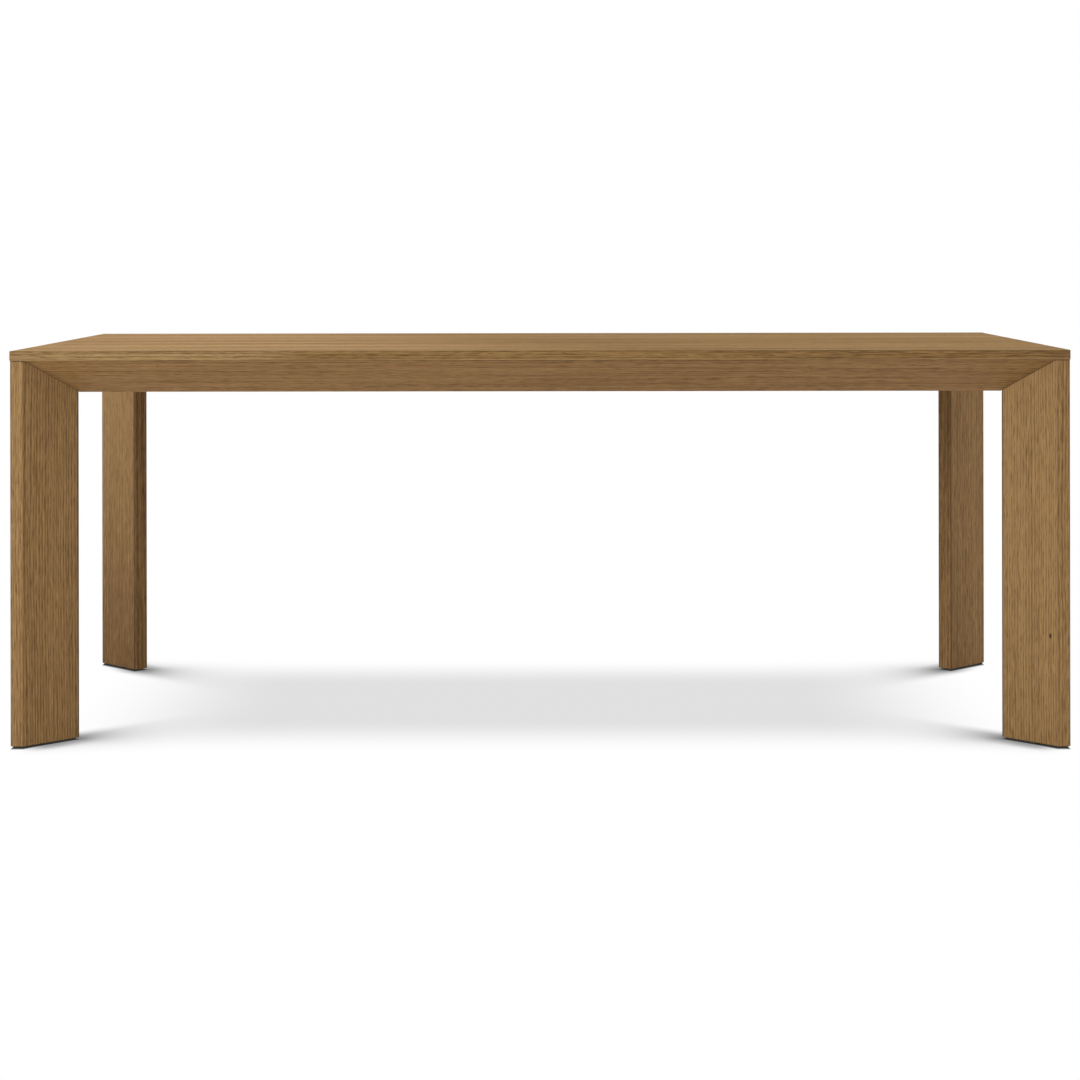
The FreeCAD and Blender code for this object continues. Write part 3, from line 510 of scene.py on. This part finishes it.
leg_levels = np.array([leg_foot, leg_foot + LEG_FOOT_CHAMFER, *(leg_top - JOINT_SHADE_REACH), leg_top])
leg_plan = np.stack([leg_section(LEG_FOOT_CHAMFER)] + [leg_section(0.0)] * (len(leg_levels) - 1))
leg_shades = np.array([0.0, 0.0, 0.0, *LEG_PAINTED_SHADES_UNDER_TOP])
arc_points = ARC_STEPS + 1
fading = np.linspace(1, 0, arc_points)
edge_shades = np.concatenate([
    LEG_NOSE_SHADE * fading,
    [0.0],
    LEG_ARRIS_SHADE * fading[::-1] ** LEG_ARRIS_STEEPNESS,
    [0.0, 0.0],
    LEG_END_SHADE * fading,
    [0.0],
])
flat_share = np.concatenate([np.ones(arc_points + 1), fading, np.zeros(arc_points + 3)])
end_share = np.concatenate([np.zeros(2 * arc_points + 3), fading[::-1], [1.0]])
for number, (corner, (side_x, side_y)) in enumerate(CORNERS.items()):
    inward = np.array([-side_x, -side_y]) / ROOT_TWO
    long_side = corner.split("_")[0]
    deep = leg_plan[..., 0]
    off = leg_plan[..., 1]
    for hand in (1, -1):
        is_end_board = hand == side_x * side_y
        face = "end" if is_end_board else long_side
        x = side_x * corner_x + deep * inward[0] - hand * off * inward[1]
        y = side_y * corner_y + deep * inward[1] + hand * off * inward[0]
        z = np.broadcast_to(leg_levels[:, None], x.shape)
        rings = np.stack([x, y, z], axis=-1)
        board = add_piece(f"leg_{corner}_{face}_board", rings, oak_leg, "table")
        grain = np.stack([z, deep, off], axis=-1) + place_in_log(2 * number + int(not is_end_board))
        broad_tone, flat_tone, end_tone = (
            np.interp(z, (leg_foot, leg_top), LEG_TONES_AND_SHADE[corner][part]) for part in ("broad", "flat", "end"))
        tone = broad_tone + flat_tone * flat_share + end_tone * end_share
        mark_board(board, grain, tone, np.maximum(leg_shades[:, None], edge_shades))

# Fascias: the sloping oak boards that show as the apron. Each is bevelled to lie against its rail, its
# foot is rounded, and its ends are mitred to the faces of the legs with a hairline gap.
FASCIA_THICKNESS = 0.018
FASCIA_FOOT_RADIUS = 0.0015
FASCIA_TOP_RADIUS = 0.0004
FASCIA_END_EASE = 0.0005
LEG_SLOT_GAP = 0.0005
# Painted shade: at the fascia's head under the top, and at its ends, darkest in the mitre and fading over
# the reach.
FASCIA_SHADE_REACH = 0.016
FASCIA_HEAD_SHADE = 0.5
FASCIA_END_SHADES = np.array([1.0, 0.95, 0.6, 0.18, 0.0])
# Tone from the start of each fascia's run to its end, paler at the start: it paints the front fascia
# lighter at its left end, where the light falls stronger.
FASCIA_TONES_AND_LIGHT = (-0.2, -0.04)
FIRST_FASCIA_IN_LOG = 21
# The way out, the way along, the distance of the board's line from the middle, and half its run.
SIDE_FRAMES = {
    "front": ((0, -1), (1, 0), corner_y, corner_x),
    "right": ((1, 0), (0, 1), corner_x, corner_y),
    "back": ((0, 1), (-1, 0), corner_y, corner_x),
    "left": ((-1, 0), (0, -1), corner_x, corner_y),
}

fascia_low, fascia_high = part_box("fascia_front")
apron_top = fascia_high[2]
apron_drop = fascia_high[2] - fascia_low[2]
rail_face = fascia_high[1] - fascia_low[1]
setback = (leg_run - leg_board) / ROOT_TWO
slope = math.hypot(apron_drop, setback)
level_thickness = FASCIA_THICKNESS * slope / apron_drop
slot_edge = (leg_board + LEG_SLOT_GAP) * ROOT_TWO
back_drop = (rail_face - level_thickness) * apron_drop / setback


def fascia_section(inset):
    """The fascia's section as (distance in, drop), set in on all its faces: the head and the foot of the
    slope are rounded, and two points down the slope bound the shade of the joint under the top."""
    down = np.array([setback, apron_drop]) / slope
    square = np.array([down[1], -down[0]])
    foot_drop = apron_drop - inset
    head = square * inset
    head = head + down * (inset - head[1]) / down[1]
    foot = head + down * (foot_drop - head[1]) / down[1]
    back_foot = np.array([rail_face - inset, foot_drop])
    back_head = np.array([rail_face - inset, back_drop])
    top_back = np.array([level_thickness - inset, inset])
    slope_points = [head + down * reach for reach in JOINT_SHADE_REACH[::-1]]
    return np.vstack([
        round_corner(top_back, head, foot, FASCIA_TOP_RADIUS),
        slope_points,
        round_corner(head, foot, back_foot, FASCIA_FOOT_RADIUS - inset),
        back_foot,
        back_head,
        top_back,
    ])


oak_fascia = make_board_oak(
    "oak_fascia", linear(166, 127, 80), linear(117, 85, 49), rings=230.0, bow=0.02, drift=0.6)
end_steps = np.array([0.0, FASCIA_END_EASE, *JOINT_SHADE_REACH[::-1], FASCIA_SHADE_REACH])
half_board = np.stack([fascia_section(FASCIA_END_EASE)] + [fascia_section(0.0)] * (len(end_steps) - 1))
sections = np.concatenate([half_board, half_board[::-1]])
inward = sections[..., 0]
drop = sections[..., 1]
down_slope = (inward * setback + drop * apron_drop) / slope
into_board = (inward * apron_drop - drop * setback) / slope
head_shades = np.zeros(half_board.shape[1])
head_shades[:arc_points] = FASCIA_HEAD_SHADE
end_shades = np.concatenate([FASCIA_END_SHADES, FASCIA_END_SHADES[::-1]])
fascia_shades = np.maximum(end_shades[:, None], head_shades)
for number, (side, (outward, along, line, half_run)) in enumerate(SIDE_FRAMES.items()):
    reach = half_run - slot_edge - half_board[..., 0] - end_steps[:, None]
    run = np.concatenate([-reach, reach[::-1]])
    place = (line - inward)[..., None] * np.array(outward) + run[..., None] * np.array(along)
    rings = np.concatenate([place, (apron_top - drop)[..., None]], axis=-1)
    board = add_piece(f"fascia_{side}", rings, oak_fascia, "table")
    grain = np.stack([run, down_slope, into_board], axis=-1) + place_in_log(FIRST_FASCIA_IN_LOG + number)
    mark_board(board, grain, np.interp(run, (-half_run, half_run), FASCIA_TONES_AND_LIGHT), fascia_shades)

# Top: a fibreboard core with solid oak lippings on its four edges, veneered in oak over both faces after
# the lippings were planed flush. The face veneer is rift-cut leaves laid side by side along the table.
LEAF_WIDTH = 0.158
LEAF_THICKNESS = 0.0006
LEAF_SLIP = 0.11
LEAF_TONES = 0.25
LEAF_FROM_PITH = 2 * LEAF_WIDTH
VENEER_PITH = (0.0, -corner_y, 0.0)
LONG_LIPPING_PITH = (0.0, -0.44, 0.62)
END_LIPPING_PITH = (-0.9, 0.0, 0.62)
TOP_GLOSS = 0.02

# The wood's colours, and a second, paler colour painted as light towards the table's left end, where the
# light falls stronger, from the first of two lengths to the other.
TOP_PALE = (linear(146, 115, 70), linear(176, 141, 95))
TOP_DARK = (linear(105, 77, 40), linear(128, 96, 56))
TOP_PAINTED_LIGHT = (0.3, -0.85)
LIPPING_PALE = (linear(155, 120, 71), linear(172, 140, 93))
LIPPING_DARK = (linear(99, 69, 35), linear(122, 90, 52))
LIPPING_PAINTED_LIGHT = (-0.42, -0.54)
BACKING_PALE = (linear(160, 128, 88),)
BACKING_DARK = (linear(118, 88, 54),)


def lay_leaves(tree, grain):
    """The grain and the tone of veneer leaves laid side by side. Each leaf repeats the one before it,
    slipped along by so much and one leaf's thickness deeper in the log, and has a tone of its own."""
    parts = split(tree, grain)
    leaf = calc(tree, "FLOOR", calc(tree, "DIVIDE", parts["Y"], LEAF_WIDTH))
    along = add_share(tree, parts["X"], leaf, LEAF_SLIP)
    across = calc(tree, "SUBTRACT", parts["Y"], calc(tree, "MULTIPLY", leaf, LEAF_WIDTH))
    from_pith = calc(tree, "ADD", across, LEAF_FROM_PITH)
    laid = join(tree, along, from_pith, calc(tree, "MULTIPLY", leaf, LEAF_THICKNESS))
    return laid, about_zero(tree, own_value(tree, leaf), LEAF_TONES)


def make_sheet_oak(
    name, pale, dark, rings, bow, drift, turn, pith, leaves=False, painted_light=None, gloss=OAK_GLOSS
):
    """Oak for a CAD piece, its grain turned to the piece's length and measured from a point on the pith. It
    is plain or in veneer leaves, of one colour all along or with a paler colour painted as light towards an
    end."""
    material, tree, wood = make_oak(name, pale[0], dark[0], rings, bow, drift, gloss=gloss)
    grain = object_grain(tree, turn, pith)
    if leaves:
        grain, tone = lay_leaves(tree, grain)
        tree.links.new(tone, wood.inputs["Tone"])
    tree.links.new(grain, wood.inputs["Grain"])
    if painted_light:
        share = rise(tree, split(tree, object_place(tree))["X"], *painted_light)
        for label, colours in (("Pale wood", pale), ("Dark wood", dark)):
            tree.links.new(blend_colour(tree, share, *colours), wood.inputs[label])
    return material


GLUE_LINE = 0.0016
GLUE_LINE_DARKEST = 0.3 * GLUE_LINE
GLUE_LINE_SHARE = 0.6
PALE_ARRIS_EDGE = 0.003
PALE_ARRIS_SHARE = 0.5
lipping_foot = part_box("lipping_front")[0][2]
veneer_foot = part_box("top_veneer")[0][2]
top_half_length, top_half_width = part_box("top_veneer")[1][:2]


def finish_edges(material, along, half_length):
    """The dark lines where the face veneer meets a lipping and where two lippings meet at a corner, and
    a paler line along the lower arris."""
    tree = material.node_tree
    place = split(tree, object_place(tree))
    pale_arris = rise(tree, place["Z"], lipping_foot + PALE_ARRIS_EDGE, lipping_foot)
    paint_over(tree, calc(tree, "MULTIPLY", pale_arris, PALE_ARRIS_SHARE), LIPPING_PALE[1])
    under_veneer = rise(tree, place["Z"], veneer_foot - GLUE_LINE, veneer_foot)
    from_middle = calc(tree, "ABSOLUTE", place[along])
    at_corner = rise(tree, from_middle, half_length - GLUE_LINE, half_length - GLUE_LINE_DARKEST)
    glue = calc(tree, "MAXIMUM", under_veneer, at_corner)
    paint_over(tree, calc(tree, "MULTIPLY", glue, GLUE_LINE_SHARE), OAK_JOINT_KNOT_AND_SHADE)


oak_top = make_sheet_oak(
    "oak_top", TOP_PALE, TOP_DARK, rings=190.0, bow=0.03, drift=1.8, turn=ALONG_X, pith=VENEER_PITH,
    leaves=True, painted_light=TOP_PAINTED_LIGHT, gloss=TOP_GLOSS)
oak_long_lipping = make_sheet_oak(
    "oak_long_lipping", LIPPING_PALE, LIPPING_DARK, rings=310.0, bow=0.07, drift=0.9, turn=ALONG_X,
    pith=LONG_LIPPING_PITH, painted_light=LIPPING_PAINTED_LIGHT)
oak_end_lipping = make_sheet_oak(
    "oak_end_lipping", LIPPING_PALE, LIPPING_DARK, rings=310.0, bow=0.06, drift=0.9, turn=ALONG_Y,
    pith=END_LIPPING_PITH)
oak_backing = make_sheet_oak(
    "oak_backing", BACKING_PALE, BACKING_DARK, rings=190.0, bow=0.03, drift=1.0, turn=ALONG_X,
    pith=VENEER_PITH, leaves=True)
finish_edges(oak_long_lipping, "X", top_half_length)
finish_edges(oak_end_lipping, "Y", top_half_width)
dress(("top_veneer",), oak_top)
dress(("lipping_front", "lipping_back"), oak_long_lipping)
dress(("lipping_left", "lipping_right"), oak_end_lipping)
dress(("backing_veneer",), oak_backing)

CORE_PALE = linear(176, 144, 104)
CORE_DARK = linear(144, 112, 76)
CORE_SPECKLE = (900.0, 2.0)
CORE_SPECKLE_LEVELS = (0.35, 0.65)
CORE_ROUGHNESS = 0.85


def speckle(tree, scale, detail):
    """Even noise on an object, with so many features in a metre and so much detail."""
    wires = {"Vector": object_place(tree), "Scale": scale, "Detail": detail}
    return add_node(tree, "TexNoise", wires).outputs[0]


def make_core_board():
    """Pressed wood-fibre board: a tan ground with a fine felted speckle."""
    material, tree, shader = new_material("core_board")
    felt = rise(tree, speckle(tree, *CORE_SPECKLE), *CORE_SPECKLE_LEVELS)
    tree.links.new(blend_colour(tree, felt, CORE_PALE, CORE_DARK), shader.inputs["Base Color"])
    shader.inputs["Roughness"].default_value = CORE_ROUGHNESS
    return material


dress(("top_core",), make_core_board())

# Fixings: zinc-plated bolts, washers, inserts, brackets and wood screws, all turned or pressed, which
# hold the legs to the corner blocks, the blocks to the rails and the rails to the top.
FIXINGS = (
    "leg_bolts", "leg_bolt_washers", "leg_inserts", "top_brackets", "bracket_screws", "corner_block_screws",
    "foot_inserts",
)
ZINC_BRIGHT = linear(196, 198, 200)
ZINC_DULL = linear(164, 168, 172)
ZINC_CLOUD = (160.0, 3.0)
ZINC_CLOUD_LEVELS = (0.35, 0.65)
ZINC_SCRATCHES = (400, 4000)
ZINC_ROUGHNESS = 0.22
ZINC_CLOUD_ROUGHNESS = 0.2
ZINC_SCRATCH_ROUGHNESS = 0.12


def make_zinc():
    """Bright zinc plate: cloudy passivation and a fine drawn scratch in the roughness."""
    material, tree, shader = new_material("zinc_steel")
    cloud = speckle(tree, *ZINC_CLOUD)
    scratches = streaks(tree, object_place(tree), *ZINC_SCRATCHES)
    colour = blend_colour(tree, rise(tree, cloud, *ZINC_CLOUD_LEVELS), ZINC_BRIGHT, ZINC_DULL)
    rough = add_share(tree, ZINC_ROUGHNESS, cloud, ZINC_CLOUD_ROUGHNESS)
    tree.links.new(colour, shader.inputs["Base Color"])
    tree.links.new(add_share(tree, rough, scratches, ZINC_SCRATCH_ROUGHNESS), shader.inputs["Roughness"])
    shader.inputs["Metallic"].default_value = 1.0
    return material


zinc_steel = make_zinc()
dress(FIXINGS, zinc_steel)

# Levelling feet: a black nylon pad moulded onto a zinc-plated threaded stem, screwed into an insert in
# the foot of each leg. The pad leaves the dark gap that shows under the wood.
PAD_SIDES = 72
PAD_FLUTES = 18
PAD_FLUTE_DEPTH = 0.0003
PAD_SOLE_ROUND = 0.0006
PAD_HEAD_ROUND = 0.001
THREAD_PITCH = 0.00125
THREAD_DEPTH = 0.00077
THREAD_CREST_FLAT = 0.096
THREAD_ROOT_FLAT = 0.104
THREAD_LEAD = 0.0008
THREAD_SIDES = 32
THREAD_STEPS = 8
THREAD_SHARP_EDGE = math.radians(50)
FULL_TURN = 2 * math.pi


def turn_about(low, high, radius, turn, height):
    """Rings about the upright middle line of a box, from each point's radius, turn and height."""
    middle = (np.array(low) + np.array(high)) / 2
    x = middle[0] + radius * np.cos(turn)
    y = middle[1] + radius * np.sin(turn)
    return np.stack([x, y, np.broadcast_to(height, radius.shape)], axis=-1)


def pad_rings(low, high):
    """A disc turned from a profile: the radius is the rim's, less a quarter round at the sole and at the
    head, and less shallow flutes whose depth follows the cosine of the turn times their number."""
    rim = (high[0] - low[0]) / 2
    bend = np.linspace(0, QUARTER_TURN, arc_points)
    closing = 1 - np.sin(bend)
    opening = 1 - np.cos(bend)
    sole = np.stack([rim - PAD_SOLE_ROUND * closing, low[2] + PAD_SOLE_ROUND * opening], axis=-1)
    head = np.stack([rim - PAD_HEAD_ROUND * opening, high[2] - PAD_HEAD_ROUND * closing], axis=-1)
    profile = np.vstack([sole, head])
    turn = np.linspace(0, FULL_TURN, PAD_SIDES, endpoint=False)
    radius = profile[:, :1] - PAD_FLUTE_DEPTH * (1 + np.cos(PAD_FLUTES * turn)) / 2
    return turn_about(low, high, radius, turn, profile[:, 1:])


def stem_rings(low, high):
    """A threaded rod: the radius falls from the crest to the root and back once in each pitch, by height
    less the share of a turn, with a flat at the crest and at the root, and tapers at the two ends."""
    crest = (high[0] - low[0]) / 2
    steps = int((high[2] - low[2]) / THREAD_PITCH * THREAD_STEPS)
    levels = np.linspace(low[2], high[2], steps + 1)[:, None]
    turn = np.linspace(0, FULL_TURN, THREAD_SIDES, endpoint=False)
    phase = (levels / THREAD_PITCH - turn / FULL_TURN) % 1.0
    from_crest = np.abs(2 * phase - 1) - THREAD_CREST_FLAT
    flank = np.clip(from_crest / (1 - THREAD_CREST_FLAT - THREAD_ROOT_FLAT), 0, 1)
    lead = np.minimum(levels - low[2], high[2] - levels) / THREAD_LEAD
    radius = crest - THREAD_DEPTH * np.maximum(flank, 1 - np.clip(lead, 0, 1))
    return turn_about(low, high, radius, turn, levels)


NYLON_DARK = linear(30, 29, 28)
NYLON_PALE = linear(44, 42, 40)
NYLON_SPARK = (2600.0, 2.0)
NYLON_ROUGHNESS = 0.42
NYLON_SPARK_ROUGHNESS = 0.2
NYLON_RELIEF = 0.3
NYLON_RELIEF_DEPTH = 0.0001


def make_nylon():
    """Moulded black nylon with a fine spark-eroded texture."""
    material, tree, shader = new_material("nylon")
    spark = speckle(tree, *NYLON_SPARK)
    rough = add_share(tree, NYLON_ROUGHNESS, spark, NYLON_SPARK_ROUGHNESS)
    bump = add_node(
        tree, "Bump", {"Height": spark, "Strength": NYLON_RELIEF, "Distance": NYLON_RELIEF_DEPTH})
    tree.links.new(blend_colour(tree, spark, NYLON_DARK, NYLON_PALE), shader.inputs["Base Color"])
    tree.links.new(rough, shader.inputs["Roughness"])
    tree.links.new(bump.outputs[0], shader.inputs["Normal"])
    return material


nylon = make_nylon()
for corner in CORNERS:
    pad = f"foot_pad_{corner}"
    stem = f"foot_stem_{corner}"
    add_piece(pad, pad_rings(*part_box(pad)), nylon, f"foot_{corner}")
    add_piece(
        stem, stem_rings(*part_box(stem)), zinc_steel, f"foot_{corner}", THREAD_SHARP_EDGE)

# Floor: a plain pale sweep. Seen directly it is white, with a painted shadow: a soft one under the top, a
# deeper one from each leg's inner end and the broad face on its long side, a short one close to that face,
# and a dark line round the leg's foot, worked out from the table's sizes and not cast by the lamps. It
# throws plain white light back up.
FLOOR_HALF = 30.0
FLOOR_WHITE = 0.8
TOP_SHADE = 0.25
TOP_SHADE_FROM_END = (0.031, 0.464)
TOP_SHADE_FROM_SIDE = (-0.036, 0.28)
LEG_SHADE = 1.85
LEG_SHADE_FADE = 0.067
LEG_SHADE_OFF_LEG = (-0.061, 0.0046)
LEG_SHADE_FROM_END = (-0.001, 0.069)
LEG_SHADE_FROM_SIDE = (-0.083, 0.318)
FACE_SHADE = 0.5
FACE_SHADE_REACH = (0.055, 0.01)
FACE_SHADE_START = (0.0, 0.06)
FACE_SHADE_END = (0.05, -0.075)
CONTACT_SHADE = (-0.004, 0.014)
CONTACT_END = 0.002
CONTACT_END_STEEPNESS = 9.0
DEEPEST_SHADE = 0.03


def product(tree, *values):
    """Values multiplied together."""
    total = values[0]
    for value in values[1:]:
        total = calc(tree, "MULTIPLY", total, value)
    return total


def largest(tree, *values):
    """The largest of several values."""
    most = values[0]
    for value in values[1:]:
        most = calc(tree, "MAXIMUM", most, value)
    return most


def floor_light(tree):
    """The share of white that the floor keeps under its painted shadow. A point lies so far in from the
    table's end and from its side and, by these, so far along the nearest leg's diagonal and so far off it,
    towards the long side where that is positive. The top's shade rises with the first two. A leg's shade
    fades with the distance from its inner end and broad face, a shorter one lies against that face, and a
    dark line follows the leg's outline."""
    place = split(tree, object_place(tree))
    from_end = calc(tree, "SUBTRACT", corner_x, calc(tree, "ABSOLUTE", place["X"]))
    from_side = calc(tree, "SUBTRACT", corner_y, calc(tree, "ABSOLUTE", place["Y"]))
    along_leg = calc(tree, "DIVIDE", calc(tree, "ADD", from_end, from_side), ROOT_TWO)
    off_leg = calc(tree, "DIVIDE", calc(tree, "SUBTRACT", from_end, from_side), ROOT_TWO)
    past_end = calc(tree, "SUBTRACT", along_leg, leg_run)
    past_face = calc(tree, "SUBTRACT", off_leg, leg_board)

    beyond_end = calc(tree, "MAXIMUM", past_end, 0.0)
    beyond_face = calc(tree, "MAXIMUM", past_face, 0.0)
    from_leg = length_of(tree, join(tree, beyond_end, beyond_face, 0.0))
    top_shade = product(
        tree,
        TOP_SHADE,
        rise(tree, from_end, *TOP_SHADE_FROM_END),
        rise(tree, from_side, *TOP_SHADE_FROM_SIDE),
    )
    leg_shade = product(
        tree,
        LEG_SHADE,
        calc(tree, "EXPONENT", calc(tree, "DIVIDE", from_leg, -LEG_SHADE_FADE)),
        rise(tree, off_leg, *LEG_SHADE_OFF_LEG),
        rise(tree, from_end, *LEG_SHADE_FROM_END),
        rise(tree, from_side, *LEG_SHADE_FROM_SIDE),
    )
    face_shade = product(
        tree,
        FACE_SHADE,
        rise(tree, from_leg, *FACE_SHADE_REACH),
        rise(tree, off_leg, 0.0, leg_board),
        rise(tree, along_leg, *FACE_SHADE_START),
        rise(tree, past_end, *FACE_SHADE_END),
    )

    past_either_face = calc(tree, "SUBTRACT", calc(tree, "ABSOLUTE", off_leg), leg_board)
    past_side = calc(tree, "MULTIPLY", from_side, -1.0)
    past_contact = calc(tree, "SUBTRACT", CONTACT_END, from_end)
    past_short_end = calc(tree, "MULTIPLY", past_contact, CONTACT_END_STEEPNESS)
    outside_leg = largest(tree, past_end, past_either_face, past_side, past_short_end)
    leg_light = product(tree, rest_of_one(tree, leg_shade), rest_of_one(tree, face_shade))
    leg_light = calc(tree, "MINIMUM", leg_light, rise(tree, outside_leg, *CONTACT_SHADE))
    return product(tree, rest_of_one(tree, top_shade), calc(tree, "MAXIMUM", leg_light, DEEPEST_SHADE))


def seen_directly(tree):
    """1 for what the camera sees, also in a mirror or through glass, and 0 for light on its way."""
    path = add_node(tree, "LightPath").outputs
    return largest(tree, path["Is Camera Ray"], path["Is Glossy Ray"], path["Is Transmission Ray"])


def make_floor_white():
    """White with the table's shadow painted in where it is seen directly, and a plain pale surface to
    light.
    """
    material, tree, shader = new_material("floor_white")
    tree.nodes.remove(shader)
    bounce = add_node(tree, "BsdfDiffuse", {"Color": (FLOOR_WHITE, FLOOR_WHITE, FLOOR_WHITE, 1.0)})
    shown = add_node(tree, "Emission", {"Color": (1.0, 1.0, 1.0, 1.0), "Strength": floor_light(tree)})
    wires = {0: seen_directly(tree), 1: bounce.outputs[0], 2: shown.outputs[0]}
    surface = add_node(tree, "MixShader", wires).outputs[0]
    tree.links.new(surface, tree.nodes["Material Output"].inputs["Surface"])
    return material


floor_side = np.array([-FLOOR_HALF, FLOOR_HALF])
floor_x, floor_y = np.meshgrid(floor_side, floor_side)
floor_points = np.stack([floor_x.ravel(), floor_y.ravel(), np.zeros(floor_x.size)], axis=-1)
floor_mesh = bpy.data.meshes.new("floor")
floor_mesh.from_pydata(floor_points.tolist(), [], [[0, 1, 3, 2]])
floor_mesh.materials.append(make_floor_white())
floor = bpy.data.objects.new("floor", floor_mesh)
scene.collection.objects.link(floor)

# Light: a faint even room and five soft boxes: one broad one overhead, a narrow one behind it, one far
# in front, and one on each side, the left one low and the stronger.
ROOM_LEVEL = 0.25
# A soft box's place, the point that it faces, its width, its height and its power in watts.
SOFT_BOXES = {
    "overhead_box": ((0.0, -0.3, 3.6), (0.0, 0.0, 0.5), 5.0, 3.0, 79.0),
    "back_box": ((0.0, 1.0, 3.6), (0.0, 0.0, 0.5), 3.0, 1.0, 22.0),
    "front_box": ((0.0, -6.0, 2.6), (0.0, 0.0, 0.5), 3.0, 2.0, 82.0),
    "left_box": ((-3.5, -2.5, 1.2), (-0.5, 0.0, 0.4), 2.0, 1.5, 55.0),
    "right_box": ((3.6, -0.2, 2.4), (0.4, 0.0, 0.4), 2.0, 1.5, 30.0),
}

world = bpy.data.worlds.new("white_room")
world.use_nodes = True
scene.world = world
room_tree = world.node_tree
room = room_tree.nodes["Background"]
room.inputs["Color"].default_value = (1.0, 1.0, 1.0, 1.0)
room_level = add_share(room_tree, ROOM_LEVEL, seen_directly(room_tree), 1.0 - ROOM_LEVEL)
room_tree.links.new(room_level, room.inputs["Strength"])


def aim(lamp, target):
    """Turn a lamp, which shines straight down, so that it faces a point: a tilt by the sight line's level
    and upright parts, then a turn by its two level parts."""
    sight = np.array(target) - np.array(lamp.location)
    level = math.hypot(sight[0], sight[1])
    lamp.rotation_euler = (math.atan2(level, -sight[2]), 0.0, math.atan2(-sight[0], sight[1]))


for box_name, (box_place, box_target, box_width, box_height, box_power) in SOFT_BOXES.items():
    box_light = bpy.data.lights.new(box_name, "AREA")
    box_light.shape = "RECTANGLE"
    box_light.size = box_width
    box_light.size_y = box_height
    box_light.energy = box_power
    soft_box = bpy.data.objects.new(box_name, box_light)
    soft_box.location = box_place
    aim(soft_box, box_target)
    scene.collection.objects.link(soft_box)

# Camera: level, a little right of the middle and just above the top, with the picture shifted down.
# Its place, turn, lens and shift are the photograph's, worked out from the table's own corners.
CAMERA_PLACE = (0.0334, -5.0267, 0.9411)
CAMERA_YAW = 0.0069
CAMERA_ROLL = 0.0017
CAMERA_LENS = 80.54
CAMERA_SENSOR = 36.0
CAMERA_SHIFT = -0.2693

camera_data = bpy.data.cameras.new("camera")
camera_data.lens = CAMERA_LENS
camera_data.sensor_width = CAMERA_SENSOR
camera_data.shift_y = CAMERA_SHIFT
camera = bpy.data.objects.new("camera", camera_data)
camera.location = CAMERA_PLACE
camera.rotation_euler = (QUARTER_TURN, CAMERA_ROLL, CAMERA_YAW)
scene.collection.objects.link(camera)
scene.camera = camera

scene.view_settings.view_transform = "Standard"
